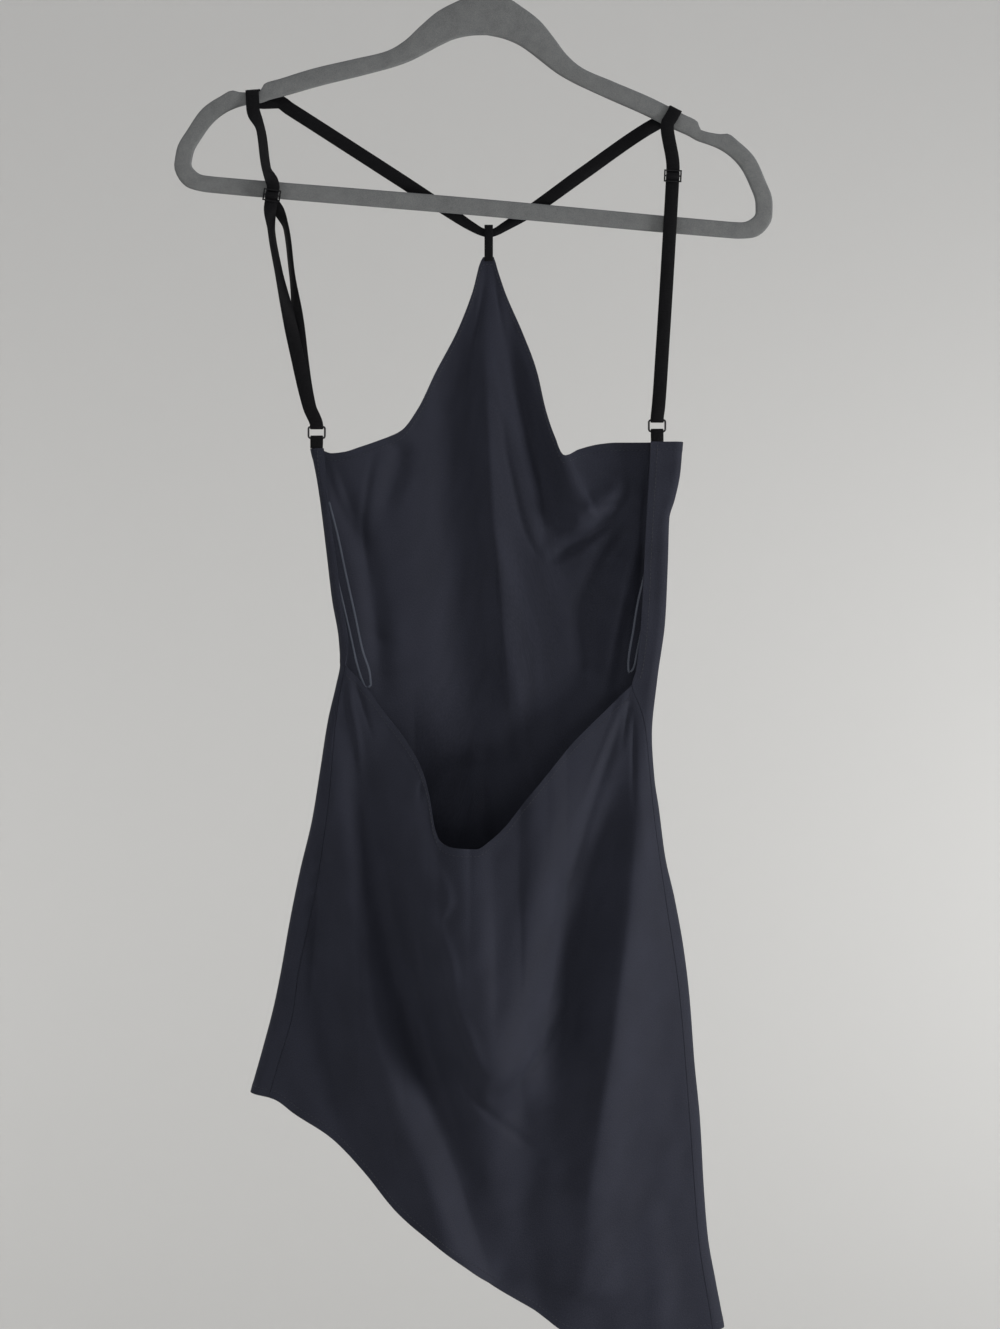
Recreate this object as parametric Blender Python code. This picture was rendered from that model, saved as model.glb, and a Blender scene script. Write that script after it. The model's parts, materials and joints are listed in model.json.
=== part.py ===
"""Bias-cut halter mini dress with a draped open back, on its hanger.

Measures are millimetres in the tables and metres in the meshes. The frame's
origin is the inside top of the hanger's hook; X runs to the viewer's right,
Z up, and the draped side faces -Y.
"""

import math
from collections import namedtuple

import bpy
import numpy as np

MM = 0.001
CLOTH = 1.2           # wall of the cloth
SEAM = 0.3            # gap between two sewn pieces
RIBBON = 1.0          # wall of the strap, loops and tabs
HEM_DROP = 4.0        # how far the far layer's hem stays above the near one

Edge = namedtuple("Edge", "z x")
Rim = namedtuple("Rim", "x z")
Level = namedtuple("Level", "z middle_y round bulge_near bulge_far")
Fold = namedtuple("Fold", "name left right along path")
Step = namedtuple("Step", "x y z lay turn width")
Station = namedtuple("Station", "out_x out_z in_x in_z")

LEFT_EDGE = [Edge(*r) for r in (
    (-423, -143), (-442, -139), (-461, -136), (-502, -131), (-536, -127),
    (-566, -122), (-584, -121), (-600, -124), (-626, -130), (-664, -136),
    (-701, -142), (-739, -151), (-773, -158), (-818, -166), (-842, -171),
    (-876, -180), (-905, -188), (-1000, -208), (-1090, -224))]
RIGHT_EDGE = [Edge(*r) for r in (
    (-418, 135), (-442, 133), (-461, 129), (-475, 125), (-506, 124),
    (-551, 122), (-596, 116), (-638, 112), (-671, 114), (-691, 117),
    (-729, 122), (-760, 129), (-799, 136), (-832, 140), (-884, 144),
    (-925, 148), (-978, 151), (-1014, 154), (-1048, 160), (-1081, 166),
    (-1090, 167))]
LEFT_SEAM = [Edge(*r) for r in (
    (-423, -133), (-461, -130), (-506, -124), (-536, -120), (-570, -115),
    (-585, -117), (-612, -122), (-635, -125), (-685, -129), (-722, -134),
    (-752, -139), (-786, -146), (-815, -152), (-845, -156), (-880, -166),
    (-908, -174), (-1000, -192), (-1090, -206))]
RIGHT_SEAM = [Edge(*r) for r in (
    (-420, 111), (-439, 110), (-491, 107), (-551, 104), (-589, 100),
    (-600, 97), (-616, 103), (-632, 107), (-652, 109), (-686, 112),
    (-704, 114), (-761, 122), (-829, 132), (-925, 140), (-1016, 147),
    (-1081, 157), (-1090, 158))]
FRONT_TOP = [Rim(*r) for r in (
    (-143, -423), (-135, -424), (-129, -426), (-119, -425), (-106, -421),
    (-92, -416), (-76, -409), (-63, -392), (-50, -365), (-32, -330),
    (-22, -304), (-16, -281.5), (-13.5, -278), (-6.5, -278), (-3.5, -287),
    (2, -304), (15, -334), (26, -364), (33, -394), (39, -412), (47, -428),
    (58, -423), (74, -419), (86, -418), (104, -418), (135, -418))]
COWL_TOP = [Rim(*r) for r in (
    (-117, -585), (-98, -606), (-88, -620), (-74, -638), (-60, -662),
    (-54, -682), (-50, -705), (-45, -716), (-35, -720), (-19, -721),
    (-9, -715), (2, -705), (14, -690), (32, -668), (51, -645), (74, -622),
    (97, -600))]
HEM = [Rim(*r) for r in (
    (-195, -903), (-188, -905), (-170, -909), (-155, -919), (-130, -934),
    (-104, -959), (-75, -992), (-44, -1016), (-8, -1043), (24, -1063),
    (54, -1081), (88, -1084), (126, -1086), (166, -1081), (180, -1080))]
LEVELS = [Level(*r) for r in (
    (-270, 2, 3.5, 0, 0), (-420, -3, 4, 0, 4), (-500, -1, 5, 0, 6),
    (-585, 0, 6, 0, 7), (-640, 0, 6.5, 11, 8), (-700, 0, 7, 22, 9),
    (-760, 0, 7.5, 29, 10), (-840, 0, 8, 32, 12), (-950, 0, 8, 28, 13),
    (-1090, 0, 8, 22, 14))]

# Heights are toward the viewer; a row's path is (x, z, height).
FRONT_FOLDS = [Fold(*r) for r in (
    ("valley_left_of_centre", 22, 14, "z",
     ((-22, -300, 0), (-32, -350, -4), (-36, -390, -6), (-38, -454, -6),
      (-34, -529, -6), (-27, -604, -5), (-20, -660, -3))),
    ("centre_ridge", 10, 14, "z",
     ((-10, -296, 0), (-11, -350, 4), (-12, -400, 5), (-10, -450, 5),
      (-5, -500, 5), (3, -581, 5), (8, -645, 2))),
    ("valley_to_wing", 7, 9, "z",
     ((-3, -315, 0), (5, -343, -3), (13, -376, -5), (22, -415, -6),
      (30, -448, -6), (34, -478, -4), (32, -505, 0))),
    ("wing_ridge", 9, 11, "z",
     ((10, -330, 0), (24, -370, 3), (38, -415, 5), (50, -448, 6),
      (60, -478, 3))),
    ("wing_crease", 5, 7, "x",
     ((32, -507, 0), (52, -496, -5), (72, -483, -6), (97, -466, 0))),
    ("wing_bulge", 16, 9, "x",
     ((42, -474, 0), (58, -474, 6), (78, -462, 6), (96, -450, 0))),
    ("side_valley", 8, 12, "z",
     ((100, -474, 0), (88, -494, -5), (70, -520, -5), (60, -545, -5),
      (66, -580, -4), (72, -610, 0))),
    ("side_ridge", 8, 6, "z",
     ((101, -476, 0), (96, -511, 5), (88, -545, 6), (80, -585, 5),
      (74, -620, 0))),
    ("wing_left_valley", 8, 11, "z",
     ((-124, -436, 0), (-117, -466, -4), (-103, -500, -5), (-96, -545, -5),
      (-88, -620, 0))),
    ("wing_left_hollow", 9, 9, "z",
     ((-82, -412, 0), (-77, -425, -4), (-84, -450, -4), (-92, -490, 0))),
    ("waist_swell", 8, 34, "z",
     ((10, -560, 0), (14, -600, 4), (22, -640, 6), (26, -668, 3))),
    ("waist_hollow", 20, 26, "x",
     ((-66, -640, 0), (-46, -645, 5), (-8, -640, 6), (20, -628, 0))),
    ("hidden_fold_left", 14, 14, "z",
     ((-70, -640, 0), (-84, -720, 5), (-98, -820, 6), (-110, -945, 6))),
    ("hidden_fold_centre", 16, 16, "z",
     ((-10, -690, 0), (-14, -760, -5), (-22, -900, -6), (-30, -1020, -7))),
    ("hidden_fold_right", 16, 16, "z",
     ((50, -640, 0), (60, -760, 5), (70, -900, 6), (76, -1080, 7))),
    ("hidden_fold_edge", 12, 12, "z",
     ((88, -660, 0), (100, -780, -4), (108, -920, -5), (118, -1080, -6))))]
BACK_FOLDS = [Fold(*r) for r in (
    ("drape_ridge", 17, 11, "z",
     ((-121, -625, 0), (-120, -674, 2), (-118, -716, 4), (-112, -776, 6),
      (-100, -836, 7), (-82, -896, 7), (-63, -949, 6), (-41, -1001, 5),
      (-20, -1045, 4))),
    ("drape_valley", 10, 20, "z",
     ((-114, -628, 0), (-104, -686, -7), (-94, -746, -9), (-81, -806, -11),
      (-63, -866, -11), (-46, -919, -9), (-29, -971, -8), (-7, -1039, -6))),
    ("flap", 22, 30, "z",
     ((-82, -660, 0), (-70, -700, 3), (-58, -746, 6), (-46, -791, 9),
      (-36, -836, 10), (-18, -874, 8), (4, -920, 5), (22, -985, 4),
      (34, -1040, 2))),
    ("side_valley_left", 12, 14, "z",
     ((-134, -680, 0), (-137, -740, -3), (-136, -800, -5), (-128, -866, -6),
      (-114, -930, -5), (-100, -965, -3))),
    ("centre_bulge", 26, 34, "z",
     ((-14, -722, 0), (-10, -770, 5), (-5, -815, 10), (0, -855, 12),
      (4, -888, 8), (6, -915, 0))),
    ("centre_crease", 12, 6, "z",
     ((62, -700, 0), (52, -760, -2), (38, -820, -3), (16, -872, 0))),
    ("long_groove", 5, 5, "z",
     ((92, -612, 0), (80, -650, -3), (66, -690, -3), (52, -735, -3),
      (38, -775, 0))),
    ("wide_valley", 20, 22, "z",
     ((102, -612, 0), (84, -680, -6), (64, -731, -10), (52, -791, -13),
      (36, -851, -14), (22, -895, -13), (16, -941, -11), (15, -1016, -8),
      (18, -1060, -6))),
    ("side_ridge_right", 15, 24, "z",
     ((112, -612, 0), (103, -680, 6), (97, -746, 9), (90, -806, 10),
      (82, -866, 10), (74, -919, 9), (67, -971, 8), (64, -1046, 6))))]

FRONT_X = (-128, -117, -106, -95, -84, -75, -66, -58, -50, -42, -34, -27,
           -21, -16.5, -13.5, -6.5, -3.5, 1, 6, 12, 18, 25, 32, 39, 47, 56,
           66, 77, 88, 98, 108, 118, 127)
BACK_Q = (0.035, 0.075, 0.12, 0.16, 0.20, 0.24, 0.272, 0.295, 0.315, 0.35,
          0.39, 0.43, 0.47, 0.51, 0.55, 0.59, 0.63, 0.67, 0.71, 0.75, 0.79,
          0.83, 0.87, 0.905, 0.94, 0.97)
UPPER_ROWS = (0, 0.05, 0.12, 0.2, 0.29, 0.38, 0.47, 0.56, 0.65, 0.74, 0.83,
              0.92)
LOWER_ROWS = (0, 0.04, 0.085, 0.135, 0.19, 0.25, 0.31, 0.37, 0.43, 0.49,
              0.55, 0.61, 0.67, 0.73, 0.79, 0.85, 0.91, 0.96, 1.0)
WAIST = (-585.0, -600.0)
NEAR_LEAN = 1.2

# Hanger: own axes before its tilt, half of it; X is measured from its middle.
TILT = math.radians(5.0)
HANGER_MIDDLE = -2.0
HANGER_ZERO = (-19.5, -228.75)
HANGER = [Station(*r) for r in (
    (0, 147, 0, 116.5), (12, 145.6, 10, 115.4), (25, 139.3, 23, 111.8),
    (38, 131, 34, 105.8), (50, 119, 44, 99.3), (61, 106.8, 55, 92.4),
    (73, 98.2, 66, 87.2), (97, 90, 91, 78), (127.5, 80, 122, 67.4),
    (152, 70, 146, 58.2), (163.2, 65.2, 158, 54), (166, 59.6, 163, 51.6),
    (181, 57.6, 176, 48.2), (186, 58.4, 182, 46),
    (195, 53.2, 190, 41.4), (207.5, 43, 198.5, 33.5), (217, 27, 206, 21.5),
    (224.3, 10.5, 211.5, 9), (225.1, -1, 212.3, 1), (220.5, -11.5, 209, -4),
    (212, -17.5, 203, -6.8), (198, -19.3, 192, -7.2), (150, -19.5, 150, -7.1),
    (75, -19.3, 75, -6.6), (0, -19, 0, -6.3))]
HANGER_HALF = 2.5
HOOK_WIRE = 2.0


class Curve:
    """A smooth single-valued curve through a table's points."""

    def __init__(self, at, value):
        order = np.argsort(at)
        self.at = np.asarray(at, float)[order]
        self.value = np.asarray(value, float)[order]
        step = np.diff(self.at)
        slope = np.diff(self.value) / step
        tangent = np.zeros_like(self.at)
        tangent[0], tangent[-1] = slope[0], slope[-1]
        for i in range(1, len(slope)):
            if slope[i - 1] * slope[i] > 0:
                a = 2 * step[i] + step[i - 1]
                b = step[i] + 2 * step[i - 1]
                tangent[i] = (a + b) / (a / slope[i - 1] + b / slope[i])
        self.tangent = tangent

    def __call__(self, where):
        where = np.clip(np.asarray(where, float), self.at[0], self.at[-1])
        i = np.clip(np.searchsorted(self.at, where) - 1, 0, len(self.at) - 2)
        step = self.at[i + 1] - self.at[i]
        t = (where - self.at[i]) / step
        return ((2 * t**3 - 3 * t**2 + 1) * self.value[i]
                + (t**3 - 2 * t**2 + t) * step * self.tangent[i]
                + (3 * t**2 - 2 * t**3) * self.value[i + 1]
                + (t**3 - t**2) * step * self.tangent[i + 1])


def edge_curve(table):
    return Curve([r.z for r in table], [r.x for r in table])


def rim_curve(table):
    return Curve([r.x for r in table], [r.z for r in table])


def level_curve(column):
    return Curve([r.z for r in LEVELS], [getattr(r, column) for r in LEVELS])


left_edge, right_edge = edge_curve(LEFT_EDGE), edge_curve(RIGHT_EDGE)
left_seam, right_seam = edge_curve(LEFT_SEAM), edge_curve(RIGHT_SEAM)
front_top, cowl_top, hem = map(rim_curve, (FRONT_TOP, COWL_TOP, HEM))
middle_y, round_of = level_curve("middle_y"), level_curve("round")
bulge_near, bulge_far = level_curve("bulge_near"), level_curve("bulge_far")


def relief(folds, x, z):
    """Height of a panel's folds toward the viewer at the points x, z."""
    total = np.zeros(np.broadcast(x, z).shape)
    for fold in folds:
        px, pz, height = (np.array(c, float) for c in zip(*fold.path))
        run, across, at, off = ((pz, px, z, x) if fold.along == "z"
                                else (px, pz, x, z))
        path, tall = Curve(run, across), Curve(run, height)
        slope = (path(at + 1.0) - path(at - 1.0)) / 2.0
        away = (off - path(at)) / np.sqrt(1.0 + slope**2)
        width = np.where(away < 0, fold.left, fold.right)
        over = np.maximum(run.min() - at, 0) + np.maximum(at - run.max(), 0)
        total = total + tall(at) * np.exp(-(away / width)**2) \
            * np.exp(-(over / 8.0)**2)
    return total


def side_round(d, radius):
    """Share of the half depth reached d inside the outline."""
    rest = 1.0 - np.clip(d / radius, 0.0, 1.0)
    return np.sqrt(np.maximum(1.0 - rest**2, 0.0))


def calm(d, radius):
    """Keeps folds off the outline."""
    t = np.clip(d / (2.2 * radius), 0.0, 1.0)
    return t * t * (3 - 2 * t)


def dress_y(x, z, near, d):
    """Depth of the near or far layer at x, z; d is the way to the outline."""
    radius = round_of(z)
    share = np.clip((x - left_edge(z)) / (right_edge(z) - left_edge(z)), 0, 1)
    if near:
        share = share**NEAR_LEAN
    swell = (4 * share * (1 - share))**1.15
    depth = radius * side_round(d, radius)
    if near:
        return (middle_y(z) - depth - bulge_near(z) * swell
                - relief(BACK_FOLDS, x, z) * calm(d, radius))
    return (middle_y(z) + depth + bulge_far(z) * swell
            - relief(FRONT_FOLDS, x, z) * calm(d, radius))


def reach_of(inset, radius):
    """Length along the near layer from the outline to a point inset by d."""
    turn = np.arccos(np.clip(1 - inset / radius, 0, 1)) * radius
    return np.where(inset < radius, turn, inset - radius + radius * math.pi / 2)


def inset_of(reach, radius):
    """The inverse of reach_of."""
    quarter = radius * math.pi / 2
    bent = radius * (1 - np.cos(np.clip(reach, 0, quarter) / radius))
    return np.where(reach < quarter, bent, reach - quarter + radius)


def hem_level(x_at, lift):
    """Height at which a column, x as a function of z, meets the hem."""
    z = -1000.0
    for _ in range(40):
        z += 0.6 * (float(hem(x_at(z))) + lift - z)
    return z


class Column:
    """One line of the dress from its top edge to its hem."""

    def __init__(self, x_at, inset_at, near, top, waist, lift):
        self.x_at, self.inset_at, self.near = x_at, inset_at, near
        self.top, self.waist = top, waist
        self.bottom = hem_level(x_at, lift)

    def levels(self):
        upper = [self.top + t * (self.waist - self.top) for t in UPPER_ROWS]
        lower = [self.waist + t * (self.bottom - self.waist)
                 for t in LOWER_ROWS]
        return np.array(upper + lower)

    def points(self, z):
        x, d = self.x_at(z), self.inset_at(z)
        return np.stack([x, dress_y(x, z, self.near, d), z], axis=-1)


def strip_column(side, share, off, top):
    """A near-side column between the seam (share 0) and the outline (1)."""
    seam, edge, sign = ((left_seam, left_edge, 1) if side == "left"
                        else (right_seam, right_edge, -1))

    def inset(z):
        radius = round_of(z)
        reach = reach_of((seam(z) - edge(z)) * sign, radius) * (1 - share) + off
        return inset_of(reach, radius)

    return Column(lambda z: edge(z) + sign * inset(z), inset, True, top,
                  WAIST[0] if side == "left" else WAIST[1], 0.0)


def round_column(side, share):
    """A far-side column on the rounding; share 1 is where it ends."""
    edge, sign = ((left_edge, 1) if side == "left" else (right_edge, -1))
    angle = share * math.pi / 2

    def inset(z):
        return round_of(z) * (1 - math.cos(angle))

    top = float(front_top((-143 if side == "left" else 135)
                          + sign * 4 * (1 - math.cos(angle))))
    return Column(lambda z: edge(z) + sign * inset(z), inset, False, top,
                  WAIST[0] if side == "left" else WAIST[1], HEM_DROP * share)


def far_column(top_x):
    """A far-side column by where it starts on the top edge."""
    share = (top_x + 139.0) / 270.0

    def x_at(z):
        radius = round_of(z)
        left, right = left_edge(z) + radius, right_edge(z) - radius
        return left + share * (right - left)

    def inset(z):
        x = x_at(z)
        return np.minimum(x - left_edge(z), right_edge(z) - x)

    return Column(x_at, inset, False, float(front_top(top_x)),
                  WAIST[0] + share * (WAIST[1] - WAIST[0]), HEM_DROP)


def back_column(share):
    """A column of the draped panel between its two seams."""
    half = SEAM / 2

    def x_at(z):
        left, right = left_seam(z), right_seam(z)
        return left + half + share * (right - left - SEAM)

    def inset(z):
        x = x_at(z)
        return np.minimum(x - left_edge(z), right_edge(z) - x)

    column = Column(x_at, inset, True, 0.0, 0.0, 0.0)
    z = -650.0
    for _ in range(60):
        z += 0.5 * (float(cowl_top(x_at(z))) - z)
    column.waist = z
    return column


def grid_normals(grid, closed=False):
    """Unit normals of a grid of points, rows by columns."""
    down = np.gradient(grid, axis=0)
    if closed:
        across = np.roll(grid, -1, axis=1) - np.roll(grid, 1, axis=1)
    else:
        across = np.gradient(grid, axis=1)
    normal = np.cross(down, across)
    return normal / np.linalg.norm(normal, axis=-1, keepdims=True)


def dress_panels():
    """Grids and normals of the two panels, built as one closed ring."""
    half = SEAM / 2
    left_top, right_top = float(front_top(-143)), float(front_top(135))
    strip = (0.0, 0.36, 0.7, 1.0)
    front = [strip_column("left", s, -half if s == 0 else 0.0, left_top)
             for s in strip]
    front += [round_column("left", s) for s in (0.34, 0.67, 1.0)]
    front += [far_column(x) for x in FRONT_X]
    front += [round_column("right", s) for s in (1.0, 0.67, 0.34)]
    front += [strip_column("right", s, -half if s == 0 else 0.0, right_top)
              for s in reversed(strip)]
    for end, mate in ((0, left_seam), (-1, right_seam)):
        front[end].bottom = hem_level(mate, 0.0)
    back = [back_column(s) for s in (0.0,) + BACK_Q + (1.0,)]
    back[0].waist, back[-1].waist = WAIST
    back[0].bottom, back[-1].bottom = front[0].bottom, front[-1].bottom
    front_grid = np.stack([c.points(c.levels()) for c in front], axis=1)
    skip = len(UPPER_ROWS)
    back_grid = np.stack([c.points(c.levels()[skip:]) for c in back], axis=1)
    front_normal = grid_normals(front_grid)
    ring = np.concatenate([front_grid[skip:], back_grid[:, ::-1]], axis=1)
    ring_normal = grid_normals(ring, closed=True)
    front_normal[skip:] = ring_normal[:, :front_grid.shape[1]]
    back_normal = ring_normal[:, front_grid.shape[1]:][:, ::-1]
    for row in range(back_grid.shape[0]):
        for f, b in ((0, 0), (-1, -1)):
            shared = front_normal[skip + row, f] + back_normal[row, b]
            shared /= np.linalg.norm(shared)
            front_normal[skip + row, f] = back_normal[row, b] = shared
    return (front_grid, front_normal), (back_grid, back_normal)


def clear_scene():
    for thing in list(bpy.data.objects):
        bpy.data.objects.remove(thing, do_unlink=True)


def material(name, colour, roughness, metallic=0.0):
    found = bpy.data.materials.new(name)
    found.use_nodes = True
    shader = found.node_tree.nodes["Principled BSDF"]
    shader.inputs["Base Color"].default_value = (*colour, 1.0)
    shader.inputs["Roughness"].default_value = roughness
    shader.inputs["Metallic"].default_value = metallic
    return found


def solid(name, points, faces, finish):
    """One closed named body, facing out, from points in millimetres."""
    points = np.asarray(points, float) * MM
    volume = 0.0
    for face in faces:
        for i in range(1, len(face) - 1):
            a, b, c = points[face[0]], points[face[i]], points[face[i + 1]]
            volume += float(np.dot(a, np.cross(b, c)))
    if volume < 0:
        faces = [tuple(reversed(face)) for face in faces]
    mesh = bpy.data.meshes.new(name)
    mesh.from_pydata([tuple(p) for p in points], [], faces)
    mesh.materials.append(finish)
    mesh.update()
    body = bpy.data.objects.new(name, mesh)
    bpy.context.scene.collection.objects.link(body)
    return body


def sheet(name, grid, normal, wall, finish):
    """A closed wall around a grid of points."""
    rows, columns = grid.shape[:2]
    points = np.concatenate([(grid + normal * wall / 2).reshape(-1, 3),
                             (grid - normal * wall / 2).reshape(-1, 3)])
    under = rows * columns

    def at(r, c, side):
        return r * columns + c + side * under

    faces = []
    for r in range(rows - 1):
        for c in range(columns - 1):
            faces.append((at(r, c, 0), at(r, c + 1, 0),
                          at(r + 1, c + 1, 0), at(r + 1, c, 0)))
            faces.append((at(r, c, 1), at(r + 1, c, 1),
                          at(r + 1, c + 1, 1), at(r, c + 1, 1)))
    rim = ([(0, c) for c in range(columns)]
           + [(r, columns - 1) for r in range(1, rows)]
           + [(rows - 1, c) for c in range(columns - 2, -1, -1)]
           + [(r, 0) for r in range(rows - 2, 0, -1)])
    for (r, c), (s, d) in zip(rim, rim[1:] + rim[:1]):
        faces.append((at(s, d, 0), at(r, c, 0), at(r, c, 1), at(s, d, 1)))
    return solid(name, points, faces, finish)


def tube(name, sections, finish, closed):
    """Sections joined one to the next, capped at the ends if open."""
    count, sides = len(sections), len(sections[0])
    points = [p for section in sections for p in section]
    faces = []
    for i in range(count if closed else count - 1):
        j = (i + 1) % count
        for k in range(sides):
            m = (k + 1) % sides
            faces.append((i * sides + k, i * sides + m,
                          j * sides + m, j * sides + k))
    if not closed:
        faces.append(tuple(range(sides))[::-1])
        faces.append(tuple((count - 1) * sides + k for k in range(sides)))
    return solid(name, points, faces, finish)


def ribbon(name, steps, finish, wall=RIBBON):
    """A flat band along a path; lay is its width's angle from X in the
    XZ plane and turn lifts that width toward the viewer."""
    centre = np.array([(s.x, s.y, s.z) for s in steps], float)
    tangent = np.gradient(centre, axis=0)
    for i in range(1, len(centre) - 1):
        a, b = centre[i] - centre[i - 1], centre[i + 1] - centre[i]
        tangent[i] = a / np.linalg.norm(a) + b / np.linalg.norm(b)
    tangent /= np.linalg.norm(tangent, axis=1, keepdims=True)
    sections = []
    for i, s in enumerate(steps):
        lay, turn = math.radians(s.lay), math.radians(s.turn)
        wide = np.array((math.cos(lay) * math.cos(turn), -math.sin(turn),
                         math.sin(lay) * math.cos(turn)))
        wide -= tangent[i] * float(np.dot(wide, tangent[i]))
        wide /= np.linalg.norm(wide)
        thick = np.cross(tangent[i], wide)
        if 0 < i < len(steps) - 1:
            a = centre[i] - centre[i - 1]
            share = float(np.dot(a / np.linalg.norm(a), tangent[i]))
            grow = 1.0 / max(share, 0.75)
        else:
            grow = 1.0
        w, t = wide * s.width / 2, thick * wall / 2 * grow
        sections.append([centre[i] - w - t, centre[i] + w - t,
                         centre[i] + w + t, centre[i] - w + t])
    return tube(name, sections, finish, closed=False)


def wire_loop(name, path, radius, sides, finish, closed=True):
    """A round wire along a path lying in a plane of constant y."""
    path = np.asarray(path, float)
    sections = []
    for i, p in enumerate(path):
        if closed:
            along = path[(i + 1) % len(path)] - path[i - 1]
        else:
            along = path[min(i + 1, len(path) - 1)] - path[max(i - 1, 0)]
        along /= np.linalg.norm(along)
        out = np.cross(along, (0.0, 1.0, 0.0))
        out /= np.linalg.norm(out)
        sections.append([p + radius * (math.cos(a) * out
                                       + math.sin(a) * np.array((0, 1.0, 0)))
                         for a in (2 * math.pi * (k + 0.5) / sides
                                   for k in range(sides))])
    return tube(name, sections, finish, closed)


def from_hanger(x, z):
    """A point on the tilted hanger, from its own axes to the frame."""
    c, s = math.cos(TILT), math.sin(TILT)
    x += HANGER_MIDDLE
    return (x * c + z * s + HANGER_ZERO[0], -x * s + z * c + HANGER_ZERO[1])


def hanger(finish):
    half = [(s.out_x, s.out_z, s.in_x, s.in_z) for s in HANGER]
    whole = half + [(-a, b, -c, d) for a, b, c, d in half[-2:0:-1]]
    sections = []
    for out_x, out_z, in_x, in_z in whole:
        outer = np.array(from_hanger(out_x, out_z))
        inner = np.array(from_hanger(in_x, in_z))
        way = inner - outer
        way /= np.linalg.norm(way)
        sections.append([
            (p[0], y, p[1]) for p, y in (
                (outer, -1.3), (outer, 1.3), (outer + 1.2 * way, HANGER_HALF),
                (inner - 1.2 * way, HANGER_HALF), (inner, 1.3), (inner, -1.3),
                (inner - 1.2 * way, -HANGER_HALF),
                (outer + 1.2 * way, -HANGER_HALF))])
    return tube("hanger", sections, finish, closed=True)


def hook(finish):
    """The wire from the hump, round over the origin, to its blunt tip."""
    axis_x, base_z = HANGER_MIDDLE + 0.0, 147.0 + SEAM
    centre_z = 229.6 - 20.0
    path = [(0.0, base_z), (0.0, base_z + 10), (1.0, base_z + 17),
            (4.5, base_z + 24)]
    ring = 20.0 + HOOK_WIRE
    path += [(2.0 + ring * math.cos(math.radians(a)) * 1.0 - 0.5,
              centre_z + ring * math.sin(math.radians(a)))
             for a in range(-48, 196, 16)]
    points = [from_hanger(x, z) for x, z in path]
    return wire_loop("hanger_hook", [(x, 0.0, z) for x, z in points],
                     HOOK_WIRE, 8, finish, closed=False)


SLIDER_Y = -7.6
WEAVE = ((-6.5, -6.2), (-3.2, -6.3), (-0.9, -8.9), (0.9, -8.9), (3.2, -6.3),
         (5.4, -6.2))
TAIL = ((-1.4, -6.1), (0.6, -6.1), (2.4, -5.0), (5.5, -4.9))
RING_HALF = (6.15, 4.25)
RING_WIRE = 0.75
TURN = RING_WIRE + SEAM + RIBBON / 2
RIGHT_RING, LEFT_RING = (116.0, -5.2, -406.0), (-138.6, -5.2, -411.0)
RIGHT_SLIDER, LEFT_SLIDER = (127.6, -219.5), (-172.0, -234.0)


def down_strap(slider, heading, rows, lay):
    """Steps through a slider; heading is the way down the strap."""
    run = np.array(heading, float)
    run /= np.linalg.norm(run)
    return [Step(slider[0] + u * run[0], y, slider[1] + u * run[1],
                 lay, 0, 10) for u, y in rows]


def ring_turn(ring):
    """The strap's turn under the ring's upper bar, front to back."""
    top = ring[2] + RING_HALF[1]
    return [Step(ring[0], ring[1] - TURN * math.cos(a),
                 top - TURN * math.sin(a), 0, 0, 9.8)
            for a in (0, 0.8, math.pi / 2, math.pi - 0.8, math.pi)]


OVER = ((-5.6, -14), (-4.0, -6), (-3.6, -1.4), (-2.8, 0.4), (-1.2, 1.0),
        (1.3, 1.1), (3.1, 0.5), (4.0, -1.4), (4.4, -7))


def over_arm(at_x, at_z, lean, shift, back_lay):
    """Steps over an arm, front to back; shift moves the back end along X."""
    lay = lean - math.degrees(TILT)
    steps = []
    for i, (y, rise) in enumerate(OVER):
        t = i / (len(OVER) - 1)
        x, z = from_hanger(at_x, at_z)
        a = math.radians(lay)
        back = max(0.0, (t - 0.5) * 2)
        steps.append(Step(x - rise * math.sin(a) + shift * back**3, y,
                          z + rise * math.cos(a),
                          lay * (0.35 + 0.65 * min(1, t * 3))
                          + (back_lay - lay) * back**6, 0, 10))
    return steps


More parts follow.
